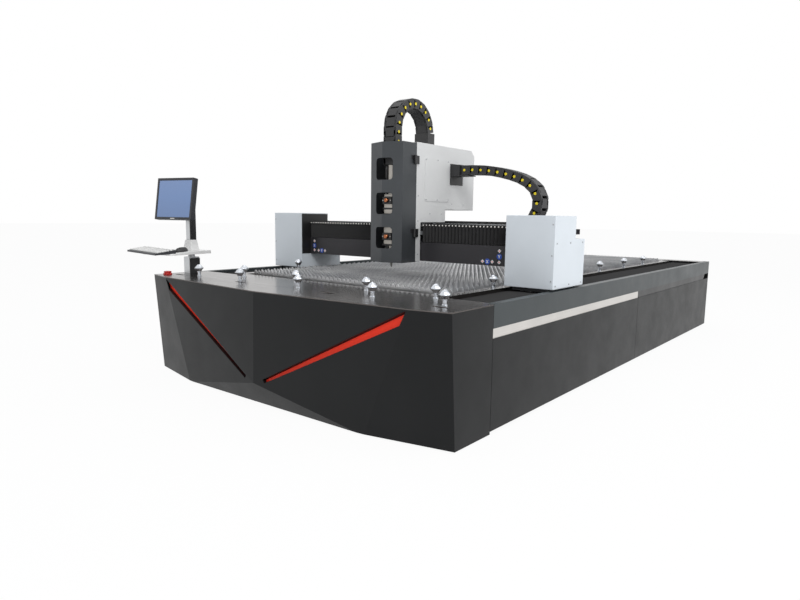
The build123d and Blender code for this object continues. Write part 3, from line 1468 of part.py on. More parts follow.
# Chain brackets on the box: a shelf with an end block, and a socket on the roof
shelf_top = X_CHAIN_HIGH - LINK_DEPTH / 2 - TOUCH_GAP
wide_half = LINK_WIDTH / 2 + CONNECTOR_LIP
socket_y, socket_joint = z_joints[-1]
socket_top = socket_joint - LINK_DEPTH / 2 * tan(radians(bend_step / 4)) - TOUCH_GAP
with BuildPart() as chain_brackets:
    block(
        (BOX_RIGHT, back(X_BRACKET_FRONT), X_BRACKET_LOW),
        (BOX_RIGHT + X_BRACKET_PLATE, back(X_BRACKET_REAR), X_BRACKET_HIGH),
    )
    block(
        (BOX_RIGHT, back(X_CHAIN_Y) - LINK_WIDTH / 2, shelf_top - X_BRACKET_PLATE),
        (BOX_RIGHT + X_BRACKET_REACH, back(X_CHAIN_Y) + LINK_WIDTH / 2, shelf_top),
    )
    block(
        (BOX_RIGHT, back(X_CHAIN_Y) - wide_half, shelf_top - X_BRACKET_PLATE),
        (X_CHAIN_START, back(X_CHAIN_Y) + wide_half, X_CHAIN_HIGH + LINK_DEPTH / 2 + CONNECTOR_LIP),
    )
    block(
        (HEAD_X - wide_half, socket_y - LINK_DEPTH / 2 - CONNECTOR_LIP, BOX_TOP),
        (HEAD_X + wide_half, socket_y + LINK_DEPTH / 2 + CONNECTOR_LIP, socket_top),
    )
save(chain_brackets, "chain_brackets")
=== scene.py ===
"""Dresses the flat-bed laser cutting machine for rendering, in metres, in the frame of its solids."""
import json
from math import cos, pi, radians, sin

import bmesh
import bpy
from mathutils import Matrix, Vector


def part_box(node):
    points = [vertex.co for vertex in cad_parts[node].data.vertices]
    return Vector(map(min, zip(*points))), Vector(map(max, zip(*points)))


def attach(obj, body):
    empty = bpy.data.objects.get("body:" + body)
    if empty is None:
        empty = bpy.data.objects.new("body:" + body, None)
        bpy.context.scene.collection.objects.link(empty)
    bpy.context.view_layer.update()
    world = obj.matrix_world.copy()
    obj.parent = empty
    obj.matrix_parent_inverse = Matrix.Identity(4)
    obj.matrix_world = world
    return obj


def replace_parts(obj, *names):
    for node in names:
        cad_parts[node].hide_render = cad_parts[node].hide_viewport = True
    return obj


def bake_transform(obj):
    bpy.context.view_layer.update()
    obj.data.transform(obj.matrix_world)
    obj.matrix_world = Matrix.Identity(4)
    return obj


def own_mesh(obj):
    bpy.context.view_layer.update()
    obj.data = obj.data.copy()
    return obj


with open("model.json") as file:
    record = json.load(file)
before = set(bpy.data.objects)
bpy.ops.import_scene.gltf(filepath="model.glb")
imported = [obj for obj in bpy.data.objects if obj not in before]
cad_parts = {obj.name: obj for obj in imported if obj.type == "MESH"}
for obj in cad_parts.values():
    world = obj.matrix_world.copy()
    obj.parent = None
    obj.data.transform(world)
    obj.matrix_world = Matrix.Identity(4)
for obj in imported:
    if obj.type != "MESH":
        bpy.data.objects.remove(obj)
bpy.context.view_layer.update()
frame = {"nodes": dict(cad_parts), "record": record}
nodes = frame["nodes"]
scene = bpy.context.scene
scene.view_settings.view_transform = "Standard"

FRONT = -2.378


def back(distance):
    """The Y of a point this many millimetres behind the bed's front edge."""
    return FRONT + distance / 1000


# Camera at the photograph's place
LENS = 27.71
AZIMUTH, PITCH, ROLL = radians(38.862), radians(7.757), radians(0.772)
CAMERA_PLACE = Vector((2.7795, -4.6408, 1.1003))
right = Vector((cos(AZIMUTH), sin(AZIMUTH), 0))
ahead = Vector((-sin(AZIMUTH) * cos(PITCH), cos(AZIMUTH) * cos(PITCH), -sin(PITCH)))
up = right.cross(ahead)
rolled_right = right * cos(ROLL) + up * sin(ROLL)
rolled_up = up * cos(ROLL) - right * sin(ROLL)
lens = bpy.data.cameras.new("camera")
lens.lens = LENS
lens.sensor_width = 36
lens.sensor_fit = "HORIZONTAL"
lens.clip_end = 200
camera = bpy.data.objects.new("camera", lens)
axes = Matrix((rolled_right, rolled_up, -ahead)).transposed()
camera.matrix_world = Matrix.Translation(CAMERA_PLACE) @ axes.to_4x4()
scene.collection.objects.link(camera)
scene.camera = camera


# Materials
def linear(r, g, b):
    """An 8-bit sRGB colour as linear light."""
    def one(v):
        v = v / 255
        return v / 12.92 if v <= 0.04045 else ((v + 0.055) / 1.055) ** 2.4
    return (one(r), one(g), one(b), 1)


def shaded(color, factor):
    """A colour made darker or lighter."""
    return tuple(min(c * factor, 1) for c in color[:3]) + (1,)


class Graph:
    """A material's node tree with short calls."""

    def __init__(self, name):
        self.material = bpy.data.materials.new(name)
        self.material.use_nodes = True
        self.tree = self.material.node_tree
        self.shader = self.tree.nodes["Principled BSDF"]

    def node(self, kind, **values):
        made = self.tree.nodes.new(kind)
        for key, value in values.items():
            setattr(made, key, value)
        return made

    def link(self, source, target):
        self.tree.links.new(source, target)

    def place(self, scale=(1, 1, 1)):
        """Object coordinates, stretched."""
        coordinates = self.node("ShaderNodeTexCoord")
        mapping = self.node("ShaderNodeMapping")
        mapping.inputs["Scale"].default_value = scale
        self.link(coordinates.outputs["Object"], mapping.inputs["Vector"])
        return mapping.outputs["Vector"]

    def noise(self, vector, scale, detail=3.0, rough=0.55):
        made = self.node("ShaderNodeTexNoise")
        made.inputs["Scale"].default_value = scale
        made.inputs["Detail"].default_value = detail
        made.inputs["Roughness"].default_value = rough
        self.link(vector, made.inputs["Vector"])
        return made.outputs["Fac"]

    def ramp(self, value, stops):
        made = self.node("ShaderNodeValToRGB")
        elements = made.color_ramp.elements
        while len(elements) < len(stops):
            elements.new(0.5)
        for element, (at, color) in zip(elements, stops):
            element.position = at
            element.color = color
        self.link(value, made.inputs["Fac"])
        return made.outputs["Color"]

    def span(self, value, low, high):
        made = self.node("ShaderNodeMapRange")
        made.inputs["To Min"].default_value = low
        made.inputs["To Max"].default_value = high
        self.link(value, made.inputs["Value"])
        return made.outputs["Result"]

    def bump(self, height, strength, distance):
        made = self.node("ShaderNodeBump")
        made.inputs["Strength"].default_value = strength
        made.inputs["Distance"].default_value = distance
        self.link(height, made.inputs["Height"])
        self.link(made.outputs["Normal"], self.shader.inputs["Normal"])


def paint(name, color, rough=0.45, grain=260, depth=0.0004, strength=0.25, drift=0.1,
          metal=0.0, shine=0.5):
    """Paint on sheet metal: fine texture, slow colour drift and smudged gloss."""
    g = Graph(name)
    slow = g.noise(g.place(), 2.3, 4)
    g.link(g.ramp(slow, [(0.3, shaded(color, 1 - drift)), (0.7, shaded(color, 1 + drift))]),
           g.shader.inputs["Base Color"])
    fine = g.noise(g.place(), grain, 4, 0.6)
    smudge = g.noise(g.place(), 6, 5)
    g.link(g.span(smudge, rough - 0.1, rough + 0.1), g.shader.inputs["Roughness"])
    g.shader.inputs["Metallic"].default_value = metal
    g.shader.inputs["Specular IOR Level"].default_value = shine
    g.bump(fine, strength, depth)
    return g.material


def brushed(name, color, stretch, rough, drift):
    """Brushed metal: long scratches one way, blotched sheen."""
    g = Graph(name)
    lines = g.noise(g.place(stretch), 1.0, 5, 0.7)
    blotch = g.noise(g.place(), 3.2, 5)
    mixed = g.node("ShaderNodeMath", operation="MULTIPLY_ADD")
    mixed.inputs[1].default_value = 0.5
    g.link(lines, mixed.inputs[0])
    halved = g.node("ShaderNodeMath", operation="MULTIPLY")
    halved.inputs[1].default_value = 0.5
    g.link(blotch, halved.inputs[0])
    g.link(halved.outputs[0], mixed.inputs[2])
    g.link(g.ramp(mixed.outputs[0], [(0.32, shaded(color, 1 - drift)), (0.68, shaded(color, 1 + drift))]),
           g.shader.inputs["Base Color"])
    g.link(g.span(lines, rough - 0.1, rough + 0.14), g.shader.inputs["Roughness"])
    g.shader.inputs["Metallic"].default_value = 1.0
    g.bump(lines, 0.12, 0.0003)
    return g.material


def plastic(name, color, rough=0.5):
    """Moulded plastic with a fine spark texture."""
    return paint(name, color, rough, grain=900, depth=0.00025, strength=0.2, drift=0.08)


def cloth(name, color):
    """Coated bellows cloth: a fine weave with worn creases."""
    g = Graph(name)
    weave = g.node("ShaderNodeTexWave", wave_type="BANDS", bands_direction="DIAGONAL")
    weave.inputs["Scale"].default_value = 300
    weave.inputs["Distortion"].default_value = 1.5
    g.link(g.place(), weave.inputs["Vector"])
    worn = g.noise(g.place(), 14, 6)
    g.link(g.ramp(worn, [(0.35, color), (0.75, shaded(color, 2.2))]), g.shader.inputs["Base Color"])
    g.link(g.span(worn, 0.5, 0.8), g.shader.inputs["Roughness"])
    g.bump(weave.outputs["Fac"], 0.25, 0.0004)
    return g.material


SLOT_MATERIALS = {
    "dark_panel": paint("dark_panel", linear(26, 27, 28), rough=0.4, grain=420, depth=0.0006,
                        strength=0.35, drift=0.12, metal=0.2, shine=0.2),
    "band_grey": paint("band_grey", linear(58, 64, 66), rough=0.38, grain=300,
                       strength=0.2, drift=0.12, metal=0.2, shine=0.3),
    "deck_steel": brushed("deck_steel", linear(96, 92, 90), (3, 260, 260), 0.2, 0.34),
    "frame_paint": paint("frame_paint", linear(60, 62, 65), 0.5),
    "accent_red": paint("accent_red", linear(255, 62, 40), grain=300, depth=0.0002,
                        strength=0.1, drift=0.06, shine=0.15),
    "trim_bright": brushed("trim_bright", linear(214, 211, 207), (400, 2, 400), 0.3, 0.12),
    "trim_black": paint("trim_black", linear(30, 30, 31), 0.4),
    "slat_steel": brushed("slat_steel", linear(226, 228, 232), (3, 60, 300), 0.3, 0.35),
    "rail_steel": brushed("rail_steel", linear(178, 180, 182), (300, 2, 300), 0.28, 0.12),
    "bellows_cloth": cloth("bellows_cloth", linear(19, 19, 20)),
    "cover_paint": paint("cover_paint", linear(214, 221, 227), rough=0.4, grain=300, depth=0.0003,
                         strength=0.12, drift=0.04),
    "box_paint": paint("box_paint", linear(214, 215, 215), rough=0.42, grain=300, depth=0.0003,
                       strength=0.12, drift=0.04),
    "slate_paint": paint("slate_paint", linear(66, 69, 72), rough=0.36, grain=95, depth=0.0011,
                         strength=0.5, drift=0.16, metal=0.3, shine=0.4),
    "panel_paint": paint("panel_paint", linear(54, 53, 56), rough=0.4, grain=300, depth=0.0003,
                         strength=0.2, drift=0.08, metal=0.1, shine=0.3),
    "black_plastic": plastic("black_plastic", linear(44, 44, 45)),
    "chrome_ball": brushed("chrome_ball", linear(214, 218, 224), (90, 90, 20), 0.14, 0.06),
    "stop_red": plastic("stop_red", linear(214, 38, 30), 0.32),
    "post_alu": brushed("post_alu", linear(196, 198, 200), (300, 300, 3), 0.32, 0.12),
    "white_paint": paint("white_paint", linear(232, 232, 231), rough=0.42, grain=400, depth=0.0002,
                         strength=0.1, drift=0.03),
    "key_plastic": plastic("key_plastic", linear(226, 226, 224), 0.45),
    "bezel_plastic": plastic("bezel_plastic", linear(40, 42, 47), 0.42),
    "head_metal": brushed("head_metal", linear(168, 164, 158), (160, 160, 6), 0.34, 0.14),
    "cap_yellow": plastic("cap_yellow", linear(236, 214, 22), 0.38),
    "mark_blue": paint("mark_blue", linear(36, 78, 176), rough=0.36, grain=300, depth=0.0002,
                       strength=0.1, drift=0.06),
    "copper": brushed("copper", linear(176, 112, 78), (160, 160, 12), 0.3, 0.15),
    "motor_black": paint("motor_black", linear(28, 28, 30), 0.4),
}


def screen_material():
    """A lit display: an almost even blue with a smeared sheen."""
    g = Graph("screen_glass")
    coordinates = g.node("ShaderNodeTexCoord")
    split = g.node("ShaderNodeSeparateXYZ")
    g.link(coordinates.outputs["Generated"], split.inputs["Vector"])
    slope = g.ramp(split.outputs["Z"], [(0.0, linear(94, 115, 152)), (0.55, linear(98, 121, 160)),
                                        (1.0, linear(103, 124, 162))])
    smear = g.noise(g.place(), 9, 4)
    g.link(g.span(smear, 0.12, 0.24), g.shader.inputs["Roughness"])
    g.link(slope, g.shader.inputs["Base Color"])
    g.link(slope, g.shader.inputs["Emission Color"])
    g.shader.inputs["Emission Strength"].default_value = 0.35
    return g.material


SLOT_MATERIALS["screen_glass"] = screen_material()
node_slots = {entry["node"]: entry["material_slot"] for entry in frame["record"]["subparts"]}


def dress(obj, slot_name):
    """Gives a piece a slot's material."""
    obj.data.materials.clear()
    obj.data.materials.append(SLOT_MATERIALS[slot_name])


WELD_REACH, BEVEL_SEGMENTS, BEVEL_ANGLE = 0.00001, 2, radians(28)


def soften(obj, width):
    """Rounds the edges of a node a little, so they catch light."""
    weld = obj.modifiers.new("weld", "WELD")
    weld.merge_threshold = WELD_REACH
    bevel = obj.modifiers.new("bevel", "BEVEL")
    bevel.width = width
    bevel.segments = BEVEL_SEGMENTS
    bevel.limit_method = "ANGLE"
    bevel.angle_limit = BEVEL_ANGLE
    bevel.harden_normals = True


for name, node in nodes.items():
    dress(node, node_slots[name])


# Mesh helpers
def piece(name, mesh, slot_name, body=None, smooth=False):
    """A new object with a slot's material, riding on a body."""
    obj = bpy.data.objects.new(name, mesh)
    scene.collection.objects.link(obj)
    dress(obj, slot_name)
    if smooth:
        mesh.polygons.foreach_set("use_smooth", [True] * len(mesh.polygons))
    if body:
        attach(obj, body)
    return obj


class Builder:
    """Collects many small solids into one mesh."""

    def __init__(self):
        self.points = []
        self.faces = []

    def add(self, points, faces, matrix=None):
        start = len(self.points)
        if matrix is not None:
            points = [matrix @ Vector(p) for p in points]
        self.points += [tuple(p) for p in points]
        self.faces += [tuple(start + i for i in face) for face in faces]

    def block(self, low, high, matrix, edge):
        """A box with small rounded edges."""
        made = bmesh.new()
        bmesh.ops.create_cube(made, size=1)
        size = [b - a for a, b in zip(low, high)]
        middle = [(a + b) / 2 for a, b in zip(low, high)]
        for vertex in made.verts:
            vertex.co = [m + s * c for m, s, c in zip(middle, size, vertex.co)]
        bmesh.ops.bevel(made, geom=list(made.edges), offset=edge, segments=2, affect="EDGES", profile=0.5)
        made.verts.index_update()
        self.add([v.co[:] for v in made.verts], [[v.index for v in f.verts] for f in made.faces], matrix)
        made.free()

    def lathe(self, profile, matrix, sides):
        """A turned solid about Z from (radius, height) points, closed where the radius is zero."""
        points = []
        rings = []
        for radius, height in profile:
            if not radius:
                rings.append([len(points)])
                points.append((0, 0, height))
                continue
            ring = []
            for i in range(sides):
                angle = 2 * pi * i / sides
                ring.append(len(points))
                points.append((radius * cos(angle), radius * sin(angle), height))
            rings.append(ring)
        faces = []
        for low, high in zip(rings, rings[1:]):
            for i in range(sides):
                j = (i + 1) % sides
                if len(low) == 1:
                    faces.append((low[0], high[j], high[i]))
                elif len(high) == 1:
                    faces.append((low[i], low[j], high[0]))
                else:
                    faces.append((low[i], low[j], high[j], high[i]))
        if len(rings[0]) > 1:
            faces.append(tuple(reversed(rings[0])))
        if len(rings[-1]) > 1:
            faces.append(tuple(rings[-1]))
        self.add(points, faces, matrix)

    def sweep(self, outline, depth_low, depth_high, to_point):
        """A flat outline pushed from one depth to another; to_point turns (u, v, depth) into a point."""
        count = len(outline)
        points = [to_point(u, v, depth_low) for u, v in outline]
        points += [to_point(u, v, depth_high) for u, v in outline]
        faces = [tuple(range(count)), tuple(range(2 * count - 1, count - 1, -1))]
        for i in range(count):
            j = (i + 1) % count
            faces.append((i, i + count, j + count, j))
        self.add(points, faces)

    def mesh(self, name):
        made = bpy.data.meshes.new(name)
        made.from_pydata(self.points, [], self.faces)
        fixed = bmesh.new()
        fixed.from_mesh(made)
        bmesh.ops.recalc_face_normals(fixed, faces=fixed.faces)
        fixed.to_mesh(made)
        fixed.free()
        made.update()
        return made


def turned(axis, place):
    """Places a shape made along Z so that it points along an axis from a place."""
    rotation = Vector((0, 0, 1)).rotation_difference(Vector(axis)).to_matrix().to_4x4()
    return Matrix.Translation(Vector(place)) @ rotation


SOCKET_SHARE, SCREW_SUNK, SCREW_SIDES, SMALL_SCREW = 0.45, 0.0005, 14, 0.0045


def screw(builder, place, axis, radius=0.005, height=0.003):
    """A pan-head screw with a small socket."""
    socket, bottom = radius * SOCKET_SHARE, height * SOCKET_SHARE
    profile = [(0, bottom), (socket, bottom), (socket, height), (radius * 0.8, height),
               (radius, height * 0.6), (radius, -SCREW_SUNK)]
    builder.lathe(profile, turned(axis, place), SCREW_SIDES)


# Slats: toothed plates with rounded tips, one behind the other
slat_low, slat_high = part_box("slats")
SLAT_PITCH, SLAT_THICK, TOOTH_PITCH, TOOTH_DEPTH = 0.058, 0.003, 0.0368, 0.026
TOOTH_STEPS, TOOTH_FULLNESS = 6, 0.8
slat_count = round((slat_high.y - slat_low.y - SLAT_THICK) / SLAT_PITCH) + 1


def slat_crest():
    """One slat's top edge with its rounded teeth, seen from the front."""
    count = int((slat_high.x - slat_low.x) / TOOTH_PITCH)
    pitch = (slat_high.x - slat_low.x) / count
    points = []
    for i in range(count):
        for step in range(TOOTH_STEPS):
            share = step / TOOTH_STEPS
            rise = sin(pi * share) ** TOOTH_FULLNESS
            points.append((slat_low.x + pitch * (i + share), slat_high.z - TOOTH_DEPTH * (1 - rise)))
    points.append((slat_high.x, slat_high.z - TOOTH_DEPTH))
    return points


def slat_mesh():
    """All slats as strips of quads."""
    crest = slat_crest()
    end = 4 * (len(crest) - 1)
    faces = []
    for a in range(0, end, 4):
        for k in range(4):
            after = (k + 1) % 4
            faces.append((a + k, a + 4 + k, a + 4 + after, a + after))
    faces += [(0, 1, 2, 3), (end + 3, end + 2, end + 1, end)]
    builder = Builder()
    for row in range(slat_count):
        near = slat_low.y + SLAT_PITCH * row
        far = near + SLAT_THICK
        points = []
        for x, z in crest:
            points += [(x, near, slat_low.z), (x, near, z), (x, far, z), (x, far, slat_low.z)]
        builder.add(points, faces)
    return builder.mesh("slat_plates")


slats = piece("slat_plates", slat_mesh(), "slat_steel", "bed")
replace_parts(slats, "slats")


# Ball transfer units: turned stem, flared cup and a pointed polished top
def clusters(node_name, reach):
    """The middles of a node's separate solids, seen from above."""
    found = []
    node = nodes[node_name]
    for vertex in node.data.vertices:
        point = node.matrix_world @ vertex.co
        for group in found:
            if (group[0].xy - point.xy).length < reach:
                group.append(point)
                break
        else:
            found.append([point])
    middles = []
    for group in found:
        middles.append([(min(p[k] for p in group) + max(p[k] for p in group)) / 2 for k in range(2)])
    return middles


UNIT_REACH = 0.07
CUP_RADIUS, RIM_RADIUS, STEM_RADIUS = 0.031, 0.027, 0.0135
base_low, base_high = (corner.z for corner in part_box("ball_unit_bases"))
head_low, head_high = (corner.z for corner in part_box("ball_unit_heads"))
stem_rise = base_high - base_low
head_rise = head_high - head_low
stem_profile = [
    (0.0, 0.0), (STEM_RADIUS * 1.06, 0.0), (STEM_RADIUS * 1.06, 0.006), (STEM_RADIUS * 0.8, 0.009),
    (STEM_RADIUS * 0.8, stem_rise * 0.46), (STEM_RADIUS * 1.05, stem_rise * 0.52),
    (STEM_RADIUS * 1.05, stem_rise * 0.58), (CUP_RADIUS * 0.78, stem_rise * 0.84),
    (CUP_RADIUS, stem_rise * 0.95), (CUP_RADIUS, stem_rise * 0.99), (CUP_RADIUS * 0.9, stem_rise),
    (0.0, stem_rise)]
head_profile = [
    (0.0, 0.0), (RIM_RADIUS, 0.0), (RIM_RADIUS * 0.96, head_rise * 0.16),
    (RIM_RADIUS * 0.82, head_rise * 0.4), (RIM_RADIUS * 0.62, head_rise * 0.66),
    (RIM_RADIUS * 0.4, head_rise * 0.88), (RIM_RADIUS * 0.2, head_rise * 0.97), (0.0, head_rise)]
STEM_SIDES, HEAD_SIDES = 16, 12
unit_stems, unit_heads = Builder(), Builder()
for x, y in clusters("ball_unit_heads", UNIT_REACH):
    unit_stems.lathe(stem_profile, Matrix.Translation((x, y, base_low)), STEM_SIDES)
    unit_heads.lathe(head_profile, Matrix.Translation((x, y, head_low)), HEAD_SIDES)
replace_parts(piece("unit_stems", unit_stems.mesh("unit_stems"), "chrome_ball", "bed"), "ball_unit_bases")
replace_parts(piece("unit_heads", unit_heads.mesh("unit_heads"), "chrome_ball", "bed"), "ball_unit_heads")

# Drag chains: every link has lapped side plates, two crossbars and a yellow cap
LINK_WIDTH, LINK_HEIGHT, PLATE, PLATE_GAP = 0.11, 0.066, 0.009, 0.0005
OUTER_TAIL, INNER_NOSE, BAR_SHARE, BAR_THICK, BAR_EDGE = 0.5, 0.3, 0.47, 0.006, 0.0012
CAP_RADIUS, CAP_THICK, CAP_SUNK, CAP_SHIFT, CAP_SIDE, CAP_SIDES = 0.0095, 0.0014, 0.002, 0.05, -1, 14
X_PITCH, Z_PITCH = 0.068, 0.062
X_DROPS = (0, 2, 4, 8, 11, 14, 18, 26, 40, 64, 90, 116, 140, 162)
X_LOWER_COUNT, Z_LEG_COUNT, Z_BEND_COUNT = 11, 4, 9
X_UPPER_COUNT, X_BEND_COUNT = 8, 5
END_STEPS = (-60, -30, 0, 30, 60)


def chain_frames(start, pitch, angles, forward, side):
    """A matrix for each link: X along the link, Y across the chain, Z out of the bend."""
    frames = []
    point = Vector(start)
    for angle in angles:
        along = Vector(forward) * cos(radians(angle)) + Vector((0, 0, sin(radians(angle))))
        axes = Matrix((along, Vector(side), along.cross(Vector(side)))).transposed().to_4x4()
        frames.append(Matrix.Translation(point + along * pitch / 2) @ axes)
        point = point + along * pitch
    return frames


def plate_outline(near, far, round_near, round_far):
    """A side plate's edge, round where it laps a neighbour."""
    half = LINK_HEIGHT / 2
    points = [(near, -half), (far, -half)]
    if round_far:
        points += [(far + half * cos(radians(a)), half * sin(radians(a))) for a in END_STEPS]
    points += [(far, half), (near, half)]
    if round_near:
        points += [(near - half * cos(radians(a)), half * sin(-radians(a))) for a in END_STEPS]
    return points


def add_link(plates, caps, matrix, pitch, first, last):
    """One chain link with its cap on one side."""
    joint = pitch / 2
    face = LINK_WIDTH / 2 - CAP_THICK
    inner = face - PLATE - PLATE_GAP
    outer_plate = plate_outline(-joint * OUTER_TAIL, joint, False, not last)
    inner_plate = plate_outline(-joint, joint * INNER_NOSE, not first, False)

    def place(u, v, depth):
        return matrix @ Vector((u, depth, v))

    for side in (-1, 1):
        plates.sweep(outer_plate, side * (face - PLATE), side * face, place)
        plates.sweep(inner_plate, side * (inner - PLATE), side * inner, place)
        level = side * (LINK_HEIGHT / 2 - BAR_THICK / 2)
        plates.block((-pitch * BAR_SHARE, -face + PLATE / 3, level - BAR_THICK / 2),
                     (pitch * BAR_SHARE, face - PLATE / 3, level + BAR_THICK / 2), matrix, BAR_EDGE)
    profile = [(CAP_RADIUS, -CAP_SUNK), (CAP_RADIUS, CAP_THICK * 0.6), (CAP_RADIUS * 0.8, CAP_THICK),
               (0, CAP_THICK)]
    spot = turned((0, CAP_SIDE, 0), (joint * CAP_SHIFT, CAP_SIDE * face, 0))
    caps.lathe(profile, matrix @ spot, CAP_SIDES)


def chain_run(name, frames, pitch, ends, node):
    """A run of links between two bodies, drawn in one pose and riding on neither."""
    plates, caps = Builder(), Builder()
    for i, matrix in enumerate(frames):
        first = ends[0] and i == 0
        last = ends[1] and i == len(frames) - 1
        add_link(plates, caps, matrix, pitch, first, last)
    run = piece(name, plates.mesh(name), "black_plastic")
    dots = piece(name + "_caps", caps.mesh(name + "_caps"), "cap_yellow")
    for obj in (run, dots):
        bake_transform(obj)
        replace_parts(obj, node)


X_CHAIN_START, X_FIXED_END, BEND_X, FAR_AWAY = (0.279, back(1560), 1.432), -0.004, 0.809, 1000
x_angles = [-drop for drop in X_DROPS] + [-180] * X_LOWER_COUNT
x_frames = chain_frames(X_CHAIN_START, X_PITCH, x_angles, (1, 0, 0), (0, 1, 0))
bend_end = X_UPPER_COUNT + X_BEND_COUNT
chain_run("chain_upper", x_frames[:X_UPPER_COUNT], X_PITCH, (True, False),
          "x_chain")
chain_run("chain_bend", x_frames[X_UPPER_COUNT:bend_end], X_PITCH, (False, False),
          "x_chain")
chain_run("chain_lower", x_frames[bend_end:], X_PITCH, (False, True),
          "x_chain")
Z_CHAIN_START, Z_STILL_Y, Z_MOVING_Y = (0.059, back(1012), 1.44), back(1334), back(1047)
z_step = 180 / Z_BEND_COUNT
z_angles = [90] * Z_LEG_COUNT + [90 - z_step * (i + 0.5) for i in range(Z_BEND_COUNT)]
z_frames = chain_frames(Z_CHAIN_START, Z_PITCH, z_angles, (0, 1, 0), (-1, 0, 0))
chain_run("chain_head", z_frames, Z_PITCH, (True, True),
          "z_chain")


# Bellows: many narrow folds
def fold_ribbon(builder, lines):
    """A folded cloth through rows of four points."""
    faces = []
    for i in range(len(lines) - 1):
        for k in range(3):
            a = 4 * i + k
            faces.append((a, a + 1, a + 5, a + 4))
    builder.add([point for line in lines for point in line], faces)


def trough_folds(node_name, fold):
    """Cloth folded over both troughs, drawn along Y."""
    low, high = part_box(node_name)
    inner = min(abs(v.co.x) for v in nodes[node_name].data.vertices)
    count = 2 * round((high.y - low.y) / fold)
    builder = Builder()
    for near_x, far_x in ((-inner, -high.x), (inner, high.x)):
        lines = []
        for i in range(count + 1):
            y = low.y + (high.y - low.y) * i / count
            z = high.z - (0.0 if i % 2 else TROUGH_FOLD_DEPTH)
            lines.append([(near_x, y, low.z), (near_x, y, z), (far_x, y, z), (far_x, y, low.z)])
        fold_ribbon(builder, lines)
    return piece(node_name + "_cloth", builder.mesh(node_name + "_cloth"), "bellows_cloth")


TROUGH_FOLD_DEPTH, FRONT_FOLD, REAR_FOLD = 0.014, 0.022, 0.026
front_cloth = trough_folds("y_bellows_front", FRONT_FOLD)
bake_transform(front_cloth)
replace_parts(front_cloth, "y_bellows_front")
rear_cloth = trough_folds("y_bellows_rear", REAR_FOLD)
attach(rear_cloth, "bed")
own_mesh(rear_cloth)
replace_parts(rear_cloth, "y_bellows_rear")

beam_low, beam_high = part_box("x_bellows")
BEAM_FOLD, BEAM_FOLD_DEPTH, LEFT_END, RIGHT_END = 0.027, 0.016, -0.08, 0.198
RIVET, RIVET_DROP, RIVET_SIDES = 0.0058, 0.011, 10
RIVET_DOME = [(RIVET, -0.002), (RIVET, 0.001), (RIVET * 0.7, 0.003), (0, 0.0038)]
for label, fixed_x, moving_x in (("left", beam_low.x, LEFT_END), ("right", beam_high.x, RIGHT_END)):
    count = 2 * round(abs(fixed_x - moving_x) / BEAM_FOLD)
    cloth_builder, rivets = Builder(), Builder()
    lines = []
    for i in range(count + 1):
        x = fixed_x + (moving_x - fixed_x) * i / count
        y = beam_low.y + (0.0 if i % 2 else BEAM_FOLD_DEPTH)
        lines.append([(x, beam_high.y, beam_low.z), (x, y, beam_low.z),
                      (x, y, beam_high.z), (x, beam_high.y, beam_high.z)])
        if i % 2:
            spot = (x, beam_low.y, beam_high.z - RIVET_DROP)
            rivets.lathe(RIVET_DOME, turned((0, -1, 0), spot), RIVET_SIDES)
    fold_ribbon(cloth_builder, lines)
    cloth_piece = piece("beam_cloth_" + label, cloth_builder.mesh("beam_cloth_" + label), "bellows_cloth")
    rivet_piece = piece("beam_rivets_" + label, rivets.mesh("beam_rivets_" + label), "trim_bright")
    for obj in (cloth_piece, rivet_piece):
        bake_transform(obj)
        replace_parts(obj, "x_bellows")

# Emergency stop: ring and mushroom, in shares of each node's radius and height
STOP_SIDES = 32
STOP_PROFILES = {
    "estop_collar": [(0, 0), (1, 0), (1, 0.55), (0.92, 1), (0.45, 1), (0.42, 0.6), (0, 0.6)],
    "estop_button": [(0, 0), (0.7, 0), (0.7, 0.28), (0.96, 0.3), (1, 0.4), (1, 0.75), (0.86, 0.92),
                     (0.5, 1), (0, 1)],
}
for node_name, shares in STOP_PROFILES.items():
    low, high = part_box(node_name)
    radius, rise = (high.x - low.x) / 2, high.z - low.z
    turned_part = Builder()
    place = Matrix.Translation(((low.x + high.x) / 2, (low.y + high.y) / 2, low.z))
    turned_part.lathe([(share * radius, up_share * rise) for share, up_share in shares], place, STOP_SIDES)
    body = "bed" if node_name == "estop_collar" else "estop"
    stop = piece(node_name + "_turned", turned_part.mesh(node_name + "_turned"), "stop_red", body)
    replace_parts(stop, node_name)

# Operator desk: keys, mouse, monitor buttons and vents
STATION_TURN, KEY_TURN, LEAN, SLOPE, BOARD_SLOPE = radians(12), radians(-16), radians(9), 0.0605, 0.08
STATION_PLACE, DESK_FRONT, SCREEN_PLACE = (-1.19, back(255), 0), -0.05, (-0.024, -0.059, 1.19)
BOARD_PLACE, BOARD_TOP, MOUSE_PLACE = (-0.14, -0.185, 0), (0, -0.075, 0.012), (0.03, -0.07, 0)
desk_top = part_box("keyboard_tray")[1].z
station = Matrix.Translation(STATION_PLACE) @ Matrix.Rotation(STATION_TURN, 4, "Z")
rest = station @ Matrix.Translation((0, DESK_FRONT, desk_top)) @ Matrix.Rotation(SLOPE, 4, "X")
board = rest @ Matrix.Translation(BOARD_PLACE) @ Matrix.Rotation(KEY_TURN, 4, "Z")
board_top = board @ Matrix.Translation(BOARD_TOP) @ Matrix.Rotation(BOARD_SLOPE, 4, "X")
KEY, KEY_GAP, KEY_RISE, KEY_SUNK, KEY_EDGE = 0.0182, 0.0042, 0.0065, 0.002, 0.0014
ROW_COUNT, FIRST_ROW, TOP_ROW_GAP, MAIN_COUNT = 6, 0.015, 0.006, 15
BOTTOM_ROW = (1.25, 1.25, 1.25, 6.25, 1.25, 1.25, 1.25, 1.25)
KEY_BLOCKS = ((-0.208, MAIN_COUNT), (0.073, 3), (0.1356, 4))
keys = Builder()
